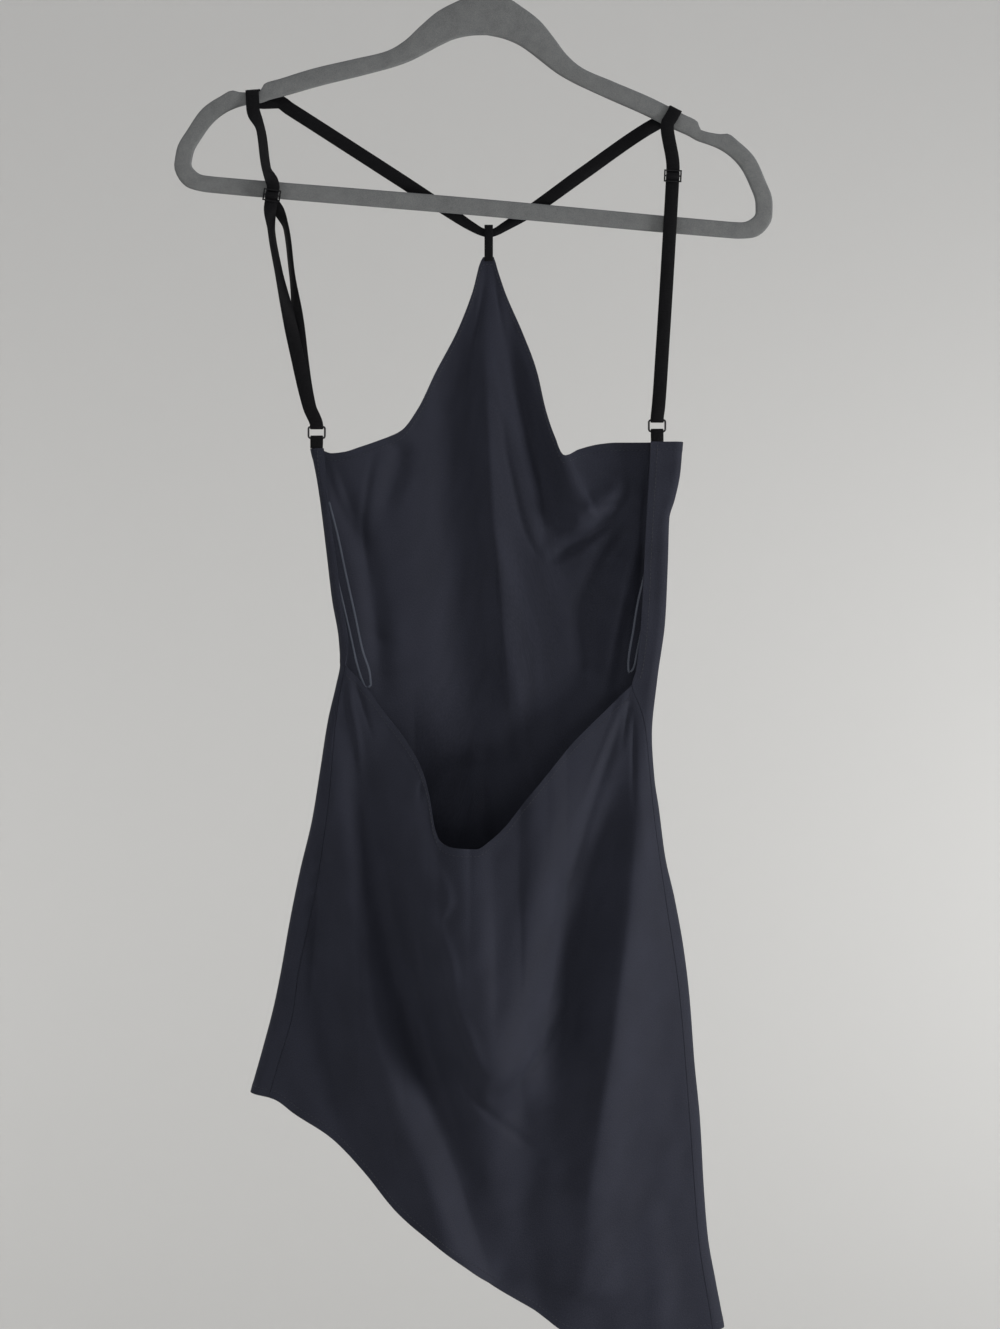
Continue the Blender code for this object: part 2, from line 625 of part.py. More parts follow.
def strap(finish):
    steps = down_strap(RIGHT_SLIDER, (-9.5, -220), TAIL, 0)
    steps += [Step(124.4, -4.9, -277, 0, 0, 10),
              Step(120.2, -4.3, -345, 0, 0, 10),
              Step(117.0, -3.8, -392, 0, 0, 10)]
    steps += ring_turn(RIGHT_RING)[::-1]
    steps += [Step(117.0, -6.75, -392, 0, 0, 10),
              Step(120.2, -6.6, -345, 0, 0, 10),
              Step(124.4, -6.4, -277, 0, 0, 10),
              Step(127.2, -6.3, -228, 0, 0, 10)]
    steps += down_strap(RIGHT_SLIDER, (-9.5, -220), WEAVE, 0)[::-1]
    steps += over_arm(145.6, 72.6, -22.2, -6.0, -50)
    steps += [Step(108, 5.6, -182.5, -54.7, 0, 10),
              Step(60, 5.4, -216, -54.7, 0, 10),
              Step(20, 5.2, -244.5, -56, 0, 9),
              Step(2, 5.1, -255.4, -66, 0, 7),
              Step(-5.5, 5.0, -259.6, -80, 0, 6),
              Step(-10, 5.0, -260.6, -90, 0, 6),
              Step(-14.5, 5.0, -259.6, -100, 0, 6),
              Step(-22, 5.1, -255.8, -112, 0, 7),
              Step(-40, 5.2, -244, -122, 0, 9),
              Step(-90, 5.4, -211.5, -123, 0, 10),
              Step(-160, 5.6, -166.5, -123, 0, 10)]
    left = over_arm(-171.4, 58.7 + 0.1, 8.5, 5.0, 57)[::-1]
    steps += [s._replace(lay=s.lay - 180) for s in left]
    steps += [Step(-180.0, -8.0, -186, -180, 50, 10),
              Step(-176.0, -8.6, -214, -180, 50, 10)]
    weave = down_strap(LEFT_SLIDER, (-3, -20), WEAVE, 0)
    steps += [s._replace(lay=-180, width=9.6) for s in weave]
    steps += [Step(-173.4, -7.4, -246, -180, 25, 9.6),
              Step(-172.0, -9.4, -262, -180, 60, 9.6),
              Step(-167.0, -9.4, -290, -180, 56, 9.6),
              Step(-160.0, -8.2, -322, -180, 28, 10),
              Step(-151.5, -7.0, -350, -180, 0, 10),
              Step(-144.0, -6.75, -392, -180, 0, 10)]
    steps += [s._replace(lay=-180) for s in ring_turn(LEFT_RING)]
    steps += [Step(-144.0, -3.7, -392, -180, 0, 10),
              Step(-150.5, -4.0, -350, -180, 0, 10),
              Step(-153.0, -3.9, -325, -180, -24, 9.6),
              Step(-157.4, -5.0, -290, -180, -60, 9),
              Step(-161.5, -5.2, -258, -180, -60, 9),
              Step(-167.0, -4.8, -245, -180, -20, 9)]
    tail = down_strap(LEFT_SLIDER, (-3, -20), TAIL[:3], 0)[::-1]
    steps += [s._replace(lay=-180, width=9) for s in tail]
    return ribbon("strap", steps, finish)


def rounded_loop(centre, half, corner, turns=3):
    path = []
    for sx, sz, start in ((1, 1, 0), (-1, 1, 90), (-1, -1, 180),
                          (1, -1, 270)):
        for k in range(turns + 1):
            a = math.radians(start + 90 * k / turns)
            path.append((centre[0] + sx * (half[0] - corner)
                         + corner * math.cos(a), centre[1],
                         centre[2] + sz * (half[1] - corner)
                         + corner * math.sin(a)))
    return path


def slider(name, at, lean, finish):
    """A plate with two slots, leaning in its own plane."""
    across = (-6.6, -5.5, 5.5, 6.6)
    down = (4.5, 3.5, 0.5, -0.5, -3.5, -4.5)
    c, s = math.cos(math.radians(lean)), math.sin(math.radians(lean))
    points = [(at[0] + x * c - z * s, SLIDER_Y + y, at[1] + x * s + z * c)
              for y in (-0.5, 0.5) for z in down for x in across]
    solid_cell = {(r, k) for r in range(5) for k in range(3)
                  if not (k == 1 and r in (1, 3))}

    def at_corner(layer, r, k):
        return layer * 24 + r * 4 + k

    faces = []
    for r, k in sorted(solid_cell):
        ring = ((r, k), (r, k + 1), (r + 1, k + 1), (r + 1, k))
        faces.append(tuple(at_corner(0, *p) for p in ring[::-1]))
        faces.append(tuple(at_corner(1, *p) for p in ring))
        for i, (dr, dk) in enumerate(((-1, 0), (0, 1), (1, 0), (0, -1))):
            if (r + dr, k + dk) not in solid_cell:
                a, b = ring[i], ring[(i + 1) % 4]
                faces.append((at_corner(0, *a), at_corner(0, *b),
                              at_corner(1, *b), at_corner(1, *a)))
    return solid(name, points, faces, finish)


def tab(name, ring, seam_z, finish):
    """The folded tab round the ring's lower bar, down to the panel."""
    low = ring[2] - RING_HALF[1]
    y = ring[1]
    steps = [Step(ring[0], -7.68, seam_z + SEAM + 0.2, 0, 0, 9.4),
             Step(ring[0], y - TURN, low, 0, 0, 9.4)]
    steps += [Step(ring[0], y - TURN * math.cos(a), low + TURN * math.sin(a),
                   0, 0, 9.4) for a in (0.8, math.pi / 2, math.pi - 0.8)]
    steps += [Step(ring[0], y + TURN, low, 0, 0, 9.4),
              Step(ring[0], -6.3, seam_z + SEAM + 0.2, 0, 0, 9.4)]
    return ribbon(name, steps, finish)


def halter_loop(finish):
    x = -10.0
    steps = [Step(x, 4.6, -277.0, 0, 0, 7), Step(x, 3.7, -270, 0, 0, 7),
             Step(x, 3.6, -256.5, 0, 0, 7), Step(x, 4.2, -254.9, 0, 0, 7),
             Step(x, 5.0, -254.4, 0, 0, 7), Step(x, 5.8, -254.9, 0, 0, 7),
             Step(x, 6.4, -256.5, 0, 0, 7), Step(x, 6.3, -270, 0, 0, 7),
             Step(x, 5.9, -277.0, 0, 0, 7)]
    return ribbon("halter_loop", steps, finish)


HANG_LEFT = ((-129.4, -5.1, -463), (-126.5, -4.2, -474), (-122.6, -2.4, -490),
             (-117, -1, -517), (-110.5, -1, -546), (-104.5, -1, -574),
             (-99, -1, -592), (-98.4, -1, -600), (-101.6, -1, -602),
             (-104.6, -1, -597), (-109, -1, -583), (-113.5, -1, -563),
             (-118.8, -2, -540), (-122.5, -3.6, -524), (-124.6, -4.5, -514))
HANG_RIGHT = ((110.5, -4.7, -500), (106.5, -3.4, -518), (101.5, -1.4, -540),
              (98.6, -1, -558), (94.6, -1, -586), (95.4, -1, -590.5),
              (98.0, -1, -588.5), (101.5, -1, -574), (105.2, -1.6, -555),
              (108.6, -3.4, -533), (111.0, -4.5, -520))


def hang_loop(name, path, finish):
    return ribbon(name, [Step(x, y, z, 0, 0, 2.4) for x, y, z in path],
                  finish)


def build():
    clear_scene()
    cloth = material("cloth", (0.021, 0.024, 0.032), 0.5)
    band = material("strap_satin", (0.008, 0.008, 0.010), 0.5)
    metal = material("black_metal", (0.02, 0.02, 0.022), 0.35, 1.0)
    ring_metal = material("ring_metal", (0.16, 0.16, 0.17), 0.3, 1.0)
    flock = material("grey_flock", (0.22, 0.225, 0.23), 0.9)
    steel = material("steel", (0.55, 0.55, 0.56), 0.25, 1.0)
    ribbon_clear = material("hang_ribbon", (0.16, 0.17, 0.20), 0.4)
    (front, front_n), (back, back_n) = dress_panels()
    sheet("front_panel", front, front_n, CLOTH, cloth)
    sheet("back_panel", back, back_n, CLOTH, cloth)
    strap(band)
    for side, ring, at, lean, top in (
            ("left", LEFT_RING, LEFT_SLIDER, -8.5, -143),
            ("right", RIGHT_RING, RIGHT_SLIDER, -2.5, 135)):
        slider("slider_" + side, at, lean, metal)
        wire_loop("ring_" + side, rounded_loop(ring, RING_HALF, 1.5),
                  RING_WIRE, 6, ring_metal)
        tab("tab_" + side, ring, float(front_top(top)), band)
    halter_loop(band)
    hang_loop("hang_loop_left", HANG_LEFT, ribbon_clear)
    hang_loop("hang_loop_right", HANG_RIGHT, ribbon_clear)
    hanger(flock)
    hook(steel)


build()
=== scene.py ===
"""Looks for a dark halter mini dress on its flocked hanger.

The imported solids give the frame; each class here dresses one sub-assembly
from the same named sizes. Table values are millimetres, meshes are metres.
The camera side is -Y, and a fold's height is toward the viewer.
"""

from __future__ import annotations

import json
import logging
import math
from dataclasses import dataclass, field
from enum import Enum
from typing import Callable, NamedTuple, Sequence

import bpy
import numpy as np
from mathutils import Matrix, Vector

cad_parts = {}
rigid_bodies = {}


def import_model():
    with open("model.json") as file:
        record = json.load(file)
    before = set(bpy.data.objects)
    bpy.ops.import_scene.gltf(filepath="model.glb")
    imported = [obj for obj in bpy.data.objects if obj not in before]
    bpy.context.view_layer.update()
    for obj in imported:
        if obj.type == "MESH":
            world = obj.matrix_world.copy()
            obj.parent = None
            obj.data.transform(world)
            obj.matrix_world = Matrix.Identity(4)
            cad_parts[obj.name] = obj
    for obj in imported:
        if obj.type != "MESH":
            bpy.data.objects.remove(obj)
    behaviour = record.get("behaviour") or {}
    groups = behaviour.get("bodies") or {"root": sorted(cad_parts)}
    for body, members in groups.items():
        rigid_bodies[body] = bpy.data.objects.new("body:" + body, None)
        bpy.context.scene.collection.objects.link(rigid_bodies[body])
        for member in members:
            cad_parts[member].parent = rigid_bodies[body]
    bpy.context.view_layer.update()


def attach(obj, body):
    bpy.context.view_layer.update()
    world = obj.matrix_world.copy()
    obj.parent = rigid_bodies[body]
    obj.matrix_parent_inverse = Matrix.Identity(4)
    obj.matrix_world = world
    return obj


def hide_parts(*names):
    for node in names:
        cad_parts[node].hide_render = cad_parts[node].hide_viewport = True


log = logging.getLogger("dress")

MM = 0.001
CLOTH = 1.0
SEAM = 0.3
RIBBON = 0.95
RIBBON_EDGE = 0.4
HEM_DROP = 4.0
HEM_FOLD = 7.0
HEM_SLOPE = 1.6
HEM_EXTRA = 0.45
HEM_STITCH = HEM_FOLD - 1.2
SIDE_STITCH = HEM_FOLD - 2.0
STITCH = 2.1
THREAD = 0.19
FOLD_FADE = 8.0
NEAR_LEAN = 1.2
SWELL_POWER = 1.15
CALM_REACH = 2.2
PUCKER_REACH = 7.0
PUCKER_TOP = -592.0
TILT = math.radians(5.0)
HANGER_MIDDLE = -2.0
HANGER_ZERO = (-19.5, -228.75)
HOOK_WIRE = 2.0


class Edge(NamedTuple):
    """A point of an outline or seam: its X at a height."""

    z: float
    x: float


class Rim(NamedTuple):
    """A point of a free edge: its height at an X."""

    x: float
    z: float


class Level(NamedTuple):
    """The dress's depth at one height."""

    z: float
    middle_y: float
    round: float
    bulge_near: float
    bulge_far: float


class Fold(NamedTuple):
    """A fold: widths left and right of its line, and (x, z, height)."""

    name: str
    left: float
    right: float
    along: str
    path: tuple


class Station(NamedTuple):
    """A crossing of the hanger: its outer and inner edge."""

    out_x: float
    out_z: float
    in_x: float
    in_z: float


class Step(NamedTuple):
    """A point of a ribbon; lay and turn set which way its width points."""

    x: float
    y: float
    z: float
    lay: float
    turn: float
    width: float


class Side(Enum):
    """Side of the dress, as the viewer sees it."""

    LEFT = "left"
    RIGHT = "right"


TOP_X = {Side.LEFT: -143, Side.RIGHT: 135}
WAIST = {Side.LEFT: -585.0, Side.RIGHT: -600.0}
INWARD = {Side.LEFT: 1, Side.RIGHT: -1}
FAR_TOP = (-139.0, 131.0)
# The phase and the height of each seam's puckers.
PUCKERS = {Side.LEFT: (0.0, 0.55), Side.RIGHT: (1.7, 0.12)}

LEFT_EDGE = [Edge(*r) for r in (
    (-423, -143), (-442, -139), (-461, -136), (-502, -131), (-536, -127),
    (-566, -122), (-584, -121), (-600, -124), (-626, -130), (-664, -136),
    (-701, -142), (-739, -151), (-773, -158), (-818, -166), (-842, -171),
    (-876, -180), (-905, -188), (-1000, -208), (-1090, -224))]
RIGHT_EDGE = [Edge(*r) for r in (
    (-418, 135), (-442, 133), (-461, 129), (-475, 125), (-506, 124),
    (-551, 122), (-596, 116), (-638, 112), (-671, 114), (-691, 117),
    (-729, 122), (-760, 129), (-799, 136), (-832, 140), (-884, 144),
    (-925, 148), (-978, 151), (-1014, 154), (-1048, 160), (-1081, 166),
    (-1090, 167))]
LEFT_SEAM = [Edge(*r) for r in (
    (-423, -133), (-461, -130), (-506, -124), (-536, -120), (-570, -115),
    (-585, -117), (-612, -122), (-635, -125), (-685, -129), (-722, -134),
    (-752, -139), (-786, -146), (-815, -152), (-845, -156), (-880, -166),
    (-908, -174), (-1000, -192), (-1090, -206))]
RIGHT_SEAM = [Edge(*r) for r in (
    (-420, 111), (-439, 110), (-491, 107), (-551, 104), (-589, 100),
    (-600, 97), (-616, 103), (-632, 107), (-652, 109), (-686, 112),
    (-704, 114), (-761, 122), (-829, 132), (-925, 140), (-1016, 147),
    (-1081, 157), (-1090, 158))]
FRONT_TOP = [Rim(*r) for r in (
    (-143, -423), (-135, -424), (-129, -426), (-119, -425), (-106, -421),
    (-92, -416), (-76, -409), (-63, -392), (-50, -365), (-32, -330),
    (-22, -304), (-16, -281.5), (-13.5, -278), (-6.5, -278), (-3.5, -287),
    (2, -304), (15, -334), (26, -364), (33, -394), (39, -412), (47, -428),
    (58, -423), (74, -419), (86, -418), (104, -418), (135, -418))]
COWL_TOP = [Rim(*r) for r in (
    (-117, -585), (-98, -606), (-88, -620), (-74, -638), (-60, -662),
    (-54, -682), (-50, -705), (-45, -716), (-35, -720), (-19, -721),
    (-9, -715), (2, -705), (14, -690), (32, -668), (51, -645), (74, -622),
    (97, -600))]
HEM = [Rim(*r) for r in (
    (-195, -903), (-188, -905), (-170, -909), (-155, -919), (-130, -934),
    (-104, -959), (-75, -992), (-44, -1016), (-8, -1043), (24, -1063),
    (54, -1081), (88, -1084), (126, -1086), (166, -1081), (180, -1080))]
LEVELS = [Level(*r) for r in (
    (-270, 2, 3.5, 0, 0), (-420, -3, 4, 0, 4), (-500, -1, 5, 0, 6),
    (-585, 0, 6, 0, 7), (-640, 0, 6.5, 11, 8), (-700, 0, 7, 22, 9),
    (-760, 0, 7.5, 29, 10), (-840, 0, 8, 32, 12), (-950, 0, 8, 28, 13),
    (-1090, 0, 8, 22, 14))]

# Heights are toward the viewer; a row's path is (x, z, height).
FRONT_FOLDS = [Fold(*r) for r in (
    ("valley_left_of_centre", 22, 14, "z",
     ((-22, -300, 0), (-32, -350, -4), (-36, -390, -6), (-38, -454, -6),
      (-34, -529, -6), (-27, -604, -5), (-20, -660, -3))),
    ("centre_ridge", 10, 14, "z",
     ((-10, -296, 0), (-11, -350, 4), (-12, -400, 5), (-10, -450, 5),
      (-5, -500, 5), (3, -581, 5), (8, -645, 2))),
    ("valley_to_wing", 7, 9, "z",
     ((-3, -315, 0), (5, -343, -3), (13, -376, -5), (22, -415, -6),
      (30, -448, -6), (34, -478, -4), (32, -505, 0))),
    ("wing_ridge", 9, 11, "z",
     ((10, -330, 0), (24, -370, 3), (38, -415, 5), (50, -448, 6),
      (60, -478, 3))),
    ("wing_crease", 5, 7, "x",
     ((32, -507, 0), (52, -496, -5), (72, -483, -6), (97, -466, 0))),
    ("wing_bulge", 16, 9, "x",
     ((42, -474, 0), (58, -474, 6), (78, -462, 6), (96, -450, 0))),
    ("side_valley", 8, 12, "z",
     ((100, -474, 0), (88, -494, -5), (70, -520, -5), (60, -545, -5),
      (66, -580, -4), (72, -610, 0))),
    ("side_ridge", 8, 6, "z",
     ((101, -476, 0), (96, -511, 5), (88, -545, 6), (80, -585, 5),
      (74, -620, 0))),
    ("wing_left_valley", 8, 11, "z",
     ((-124, -436, 0), (-117, -466, -4), (-103, -500, -5), (-96, -545, -5),
      (-88, -620, 0))),
    ("wing_left_hollow", 9, 9, "z",
     ((-82, -412, 0), (-77, -425, -4), (-84, -450, -4), (-92, -490, 0))),
    ("waist_swell", 8, 34, "z",
     ((10, -560, 0), (14, -600, 4), (22, -640, 6), (26, -668, 3))),
    ("waist_hollow", 20, 26, "x",
     ((-66, -640, 0), (-46, -645, 5), (-8, -640, 6), (20, -628, 0))),
    ("hidden_fold_left", 14, 14, "z",
     ((-70, -640, 0), (-84, -720, 5), (-98, -820, 6), (-110, -945, 6))),
    ("hidden_fold_centre", 16, 16, "z",
     ((-10, -690, 0), (-14, -760, -5), (-22, -900, -6), (-30, -1020, -7))),
    ("hidden_fold_right", 16, 16, "z",
     ((50, -640, 0), (60, -760, 5), (70, -900, 6), (76, -1080, 7))),
    ("hidden_fold_edge", 12, 12, "z",
     ((88, -660, 0), (100, -780, -4), (108, -920, -5), (118, -1080, -6))))]
BACK_FOLDS = [Fold(*r) for r in (
    ("drape_ridge", 17, 11, "z",
     ((-121, -625, 0), (-120, -674, 2), (-118, -716, 4), (-112, -776, 6),
      (-100, -836, 7), (-82, -896, 7), (-63, -949, 6), (-41, -1001, 5),
      (-20, -1045, 4))),
    ("drape_valley", 10, 20, "z",
     ((-114, -628, 0), (-104, -686, -7), (-94, -746, -9), (-81, -806, -11),
      (-63, -866, -11), (-46, -919, -9), (-29, -971, -8), (-7, -1039, -6))),
    ("flap", 22, 30, "z",
     ((-82, -660, 0), (-70, -700, 3), (-58, -746, 6), (-46, -791, 9),
      (-36, -836, 10), (-18, -874, 8), (4, -920, 5), (22, -985, 4),
      (34, -1040, 2))),
    ("side_valley_left", 12, 14, "z",
     ((-134, -680, 0), (-137, -740, -3), (-136, -800, -5), (-128, -866, -6),
      (-114, -930, -5), (-100, -965, -3))),
    ("centre_bulge", 26, 34, "z",
     ((-14, -722, 0), (-10, -770, 5), (-5, -815, 10), (0, -855, 12),
      (4, -888, 8), (6, -915, 0))),
    ("centre_crease", 12, 6, "z",
     ((62, -700, 0), (52, -760, -2), (38, -820, -3), (16, -872, 0))),
    ("long_groove", 5, 5, "z",
     ((92, -612, 0), (80, -650, -3), (66, -690, -3), (52, -735, -3),
      (38, -775, 0))),
    ("wide_valley", 20, 22, "z",
     ((102, -612, 0), (84, -680, -6), (64, -731, -10), (52, -791, -13),
      (36, -851, -14), (22, -895, -13), (16, -941, -11), (15, -1016, -8),
      (18, -1060, -6))),
    ("side_ridge_right", 15, 24, "z",
     ((112, -612, 0), (103, -680, 6), (97, -746, 9), (90, -806, 10),
      (82, -866, 10), (74, -919, 9), (67, -971, 8), (64, -1046, 6))))]

HANGER = [Station(*r) for r in (
    (0, 147, 0, 116.5), (12, 145.6, 10, 115.4), (25, 139.3, 23, 111.8),
    (38, 131, 34, 105.8), (50, 119, 44, 99.3), (61, 106.8, 55, 92.4),
    (73, 98.2, 66, 87.2), (97, 90, 91, 78), (127.5, 80, 122, 67.4),
    (152, 70, 146, 58.2), (163.2, 65.2, 158, 54), (166, 59.6, 163, 51.6),
    (181, 57.6, 176, 48.2), (186, 58.4, 182, 46),
    (195, 53.2, 190, 41.4), (207.5, 43, 198.5, 33.5), (217, 27, 206, 21.5),
    (224.3, 10.5, 211.5, 9), (225.1, -1, 212.3, 1), (220.5, -11.5, 209, -4),
    (212, -17.5, 203, -6.8), (198, -19.3, 192, -7.2), (150, -19.5, 150, -7.1),
    (75, -19.3, 75, -6.6), (0, -19, 0, -6.3))]
HOOK_STEM = ((0.0, 147.0 + SEAM - 1.0), (0.0, 157.3), (1.0, 164.3),
             (4.5, 171.3))
HOOK_CENTRE = (1.5, 209.6)
HOOK_INSIDE = 20.0

HANG_LEFT = ((-129.4, -5.1, -463), (-126.5, -4.2, -474), (-122.6, -2.4, -490),
             (-117, -1, -517), (-110.5, -1, -546), (-104.5, -1, -574),
             (-99, -1, -592), (-98.4, -1, -600), (-101.6, -1, -602),
             (-104.6, -1, -597), (-109, -1, -583), (-113.5, -1, -563),
             (-118.8, -2, -540), (-122.5, -3.6, -524), (-124.6, -4.5, -514))
HANG_RIGHT = ((110.5, -4.7, -500), (106.5, -3.4, -518), (101.5, -1.4, -540),
              (98.6, -1, -558), (94.6, -1, -586), (95.4, -1, -590.5),
              (98.0, -1, -588.5), (101.5, -1, -574), (105.2, -1.6, -555),
              (108.6, -3.4, -533), (111.0, -4.5, -520))

FRONT_DETAIL = [Fold(*r) for r in (
    ("halter_lap", 9, 1.8, "z",
     ((46, -424, 2), (56, -446, 4), (64, -463, 4), (71, -478, 0))),
    ("centre_edge", 2.5, 9, "z",
     ((-13, -350, 0), (-11, -392, 1.6), (-9, -430, 2.2), (-6, -475, 2.2),
      (-1, -520, 1.8), (3, -574, 1.6), (8, -640, 0))),
    ("groove_near_wing", 2.5, 3.5, "z",
     ((-2, -390, 0), (2, -421, -1.8), (8, -448, -2), (16, -481, -1.8),
      (27, -503, -1.2), (34, -510, 0))),
    ("wing_line", 2.5, 3, "x",
     ((60, -461, 0), (80, -463.5, -1.6), (101, -463, 0))),
    ("wing_corner", 3, 2, "z",
     ((123, -436, 0), (123, -458, 1.6), (124, -474, 0))),
    ("tip_crease_left", 1.6, 2, "z",
     ((-12, -282, 0), (-15, -310, -1.2), (-22, -350, -1), (-30, -395, 0))),
    ("tip_crease_right", 2, 2, "z",
     ((-7, -284, 0), (-3, -312, -1.1), (3, -350, 0))),
    ("small_left_a", 3, 3, "z",
     ((-129, -430, 0), (-122, -455, 1.3), (-112, -482, 0))),
    ("small_left_b", 3, 3, "z",
     ((-95, -420, 0), (-101, -450, -1.3), (-104, -480, -1.1),
      (-100, -525, 0))),
    ("small_right", 2.5, 3, "z",
     ((110, -428, 0), (107, -470, -1.6), (104, -520, -1.3), (99, -565, 0))),
    ("waist_pull_left", 4, 5, "x",
     ((-114, -552, 0), (-92, -566, -0.8), (-64, -574, 0))),
    ("waist_pull_right", 4, 5, "x",
     ((36, -602, 0), (62, -590, -0.8), (94, -566, 0))),
    ("back_drag_left", 4, 5, "z",
     ((-112, -640, 0), (-122, -720, 1.8), (-134, -800, 1.6),
      (-150, -900, 1))),
    ("back_drag_right", 4, 5, "z",
     ((28, -660, 0), (34, -780, 2), (42, -900, 2), (52, -1070, 1.5))),
    ("back_crease", 3, 4, "x",
     ((-70, -760, 0), (-30, -776, -1.4), (20, -770, 0))))]
BACK_DETAIL = [Fold(*r) for r in (
    ("groove_flap", 2, 2, "z",
     ((-59, -670, 0), (-60, -677, -1.2), (-61, -688, 0))),
    ("flap_edge", 13, 4.5, "z",
     ((-54, -722, 0), (-40, -758, 3.2), (-46, -775, 1.8), (-36, -808, 3.0),
      (-35, -826, 1.6), (-23, -858, 2.4), (-14, -884, 0))),
    ("flap_crest", 8, 16, "z",
     ((-56, -740, 0), (-46, -780, 3), (-38, -820, 4), (-24, -862, 3),
      (-6, -900, 0))),
    ("flap_bank", 8, 9, "z",
     ((-98, -690, 0), (-84, -750, -4), (-72, -806, -4.5), (-54, -866, -4.5),
      (-38, -919, -3.5), (-22, -965, -2))),
    ("side_crest", 9, 14, "z",
     ((106, -650, 0), (97, -746, 4), (90, -806, 5), (82, -866, 5),
      (74, -919, 4), (67, -971, 3))),
    ("side_bank", 12, 12, "z",
     ((86, -690, 0), (74, -731, -3), (64, -791, -5), (53, -851, -5),
      (43, -895, -4), (38, -941, -3))),
    ("centre_lift", 13, 70, "x",
     ((-46, -790, 0), (-24, -858, 7), (-4, -882, 9), (14, -872, 8),
      (34, -826, 5), (48, -780, 0))),
    ("crease_left_long", 2.5, 3, "z",
     ((-105, -765, 0), (-103, -830, -1.8), (-101, -935, 0))),
    ("centre_fine_low", 3, 4, "z",
     ((-32, -888, 0), (-20, -905, -2.2), (-8, -917, -2.2), (12, -934, -1.6),
      (31, -951, 0))),
    ("centre_fine_high", 3, 4, "z",
     ((47, -836, 0), (34, -860, -2.6), (22, -878, -2.6), (1, -903, 0))),
    ("right_narrow", 2, 2, "z",
     ((98, -613, 0), (98.5, -650, -1.8), (98, -695, 0))),
    ("right_low_crease", 3, 3, "x",
     ((48, -1009, 0), (70, -1001, -1.1), (92, -992, 0))),
    ("corner_pull_right_a", 2, 3, "z",
     ((94, -603, 0), (86, -622, 1.8), (74, -652, 1.6), (58, -692, 0))),
    ("corner_pull_right_b", 1.8, 2, "z",
     ((96.5, -603, 0), (94, -622, -1.8), (88, -652, 0))),
    ("corner_pull_left_a", 2, 3, "z",
     ((-116, -589, 0), (-113, -612, 2), (-108, -640, 1.6), (-103, -684, 0))),
    ("corner_pull_left_b", 2, 2, "z",
     ((-112, -591, 0), (-104, -615, -1.6), (-96, -642, 0))),
    ("hem_wave_left", 11, 11, "z",
     ((-62, -925, 0), (-50, -980, 2), (-42, -1016, 3))),
    ("hem_wave_middle", 12, 12, "z",
     ((18, -965, 0), (26, -1020, -2), (30, -1068, -3))),
    ("hem_wave_right", 10, 10, "z",
     ((108, -975, 0), (115, -1030, 2), (118, -1086, 3))),
    ("left_flat", 3, 4, "z",
     ((-134, -725, 0), (-140, -800, -1.3), (-149, -872, 0))))]

SLIDER_Y = -7.6
WEAVE = ((-6.5, -6.2), (-3.2, -6.3), (-0.9, -8.9), (0.9, -8.9), (3.2, -6.3),
         (5.4, -6.2))
TAIL = ((-1.4, -6.1), (0.6, -6.1), (2.4, -5.0), (5.5, -4.9))
RING_HALF = (6.15, 4.25)
RING_WIRE = 0.75
TURN = RING_WIRE + SEAM + 0.5
RINGS = {Side.RIGHT: (116.0, -5.2, -406.0), Side.LEFT: (-138.6, -5.2, -411.0)}
SLIDERS = {Side.RIGHT: (127.6, -219.5), Side.LEFT: (-172.0, -234.0)}
LEANS = {Side.RIGHT: -2.5, Side.LEFT: -8.5}
# The way that the ribbon takes down through each slider.
SLIDER_RUN = {Side.RIGHT: (-9.5, -220.0), Side.LEFT: (-3.0, -20.0)}
OVER = ((-5.6, -14), (-4.0, -6), (-3.6, -1.4), (-2.8, 0.4), (-1.2, 1.0),
        (1.3, 1.1), (3.1, 0.5), (4.0, -1.4), (4.4, -7))
BAND, TAB_BAND, TURN_BAND, HALTER_BAND, HANG_BAND = 10, 9.4, 9.8, 6.4, 1.5
TAB_FRONT, TAB_BACK, TAB_LIFT = -7.68, -6.3, 0.2
HALTER_X = -10.0
HALTER_LOOP = ((4.2, -281.5), (4.1, -276), (3.6, -268), (3.6, -256.5),
               (4.2, -254.9), (5.0, -254.4), (5.8, -254.9), (6.4, -256.5),
               (6.5, -268), (6.7, -276), (6.8, -281.5))
# Half widths, half height and half depths of a slider's bars.
SLIDER_HALF = (5.5, 6.6, 4.5)
SLIDER_DEEP = (0.55, 0.5)
RIGHT_DOWN = ((124.4, -4.9, -277), (120.2, -4.3, -345), (117.0, -3.8, -392))
RIGHT_UP = ((117.0, -6.75, -392), (120.2, -6.6, -345), (124.4, -6.4, -277),
            (127.2, -6.3, -228))
DIAGONALS = [Step(*r) for r in (
    (108, 5.6, -182.5, -54.7, 0, 10), (60, 5.4, -216, -54.7, 0, 10),
    (20, 5.2, -244.5, -56, 0, 9), (2, 5.1, -255.4, -66, 0, 7),
    (-5.5, 5.0, -259.6, -80, 0, 6), (-10, 5.0, -260.6, -90, 0, 6),
    (-14.5, 5.0, -259.6, -100, 0, 6), (-22, 5.1, -255.8, -112, 0, 7),
    (-40, 5.2, -244, -122, 0, 9), (-90, 5.4, -211.5, -123, 0, 10),
    (-128, 5.5, -187, -123, 0, 10), (-160, 5.6, -166.5, -123, 0, 10),
    (-168, 5.6, -161.5, -123, 0, 10))]
LEFT_TOP = [Step(*r) for r in (
    (-180.0, -8.0, -186, -180, 50, 10), (-176.0, -8.6, -214, -180, 50, 10))]
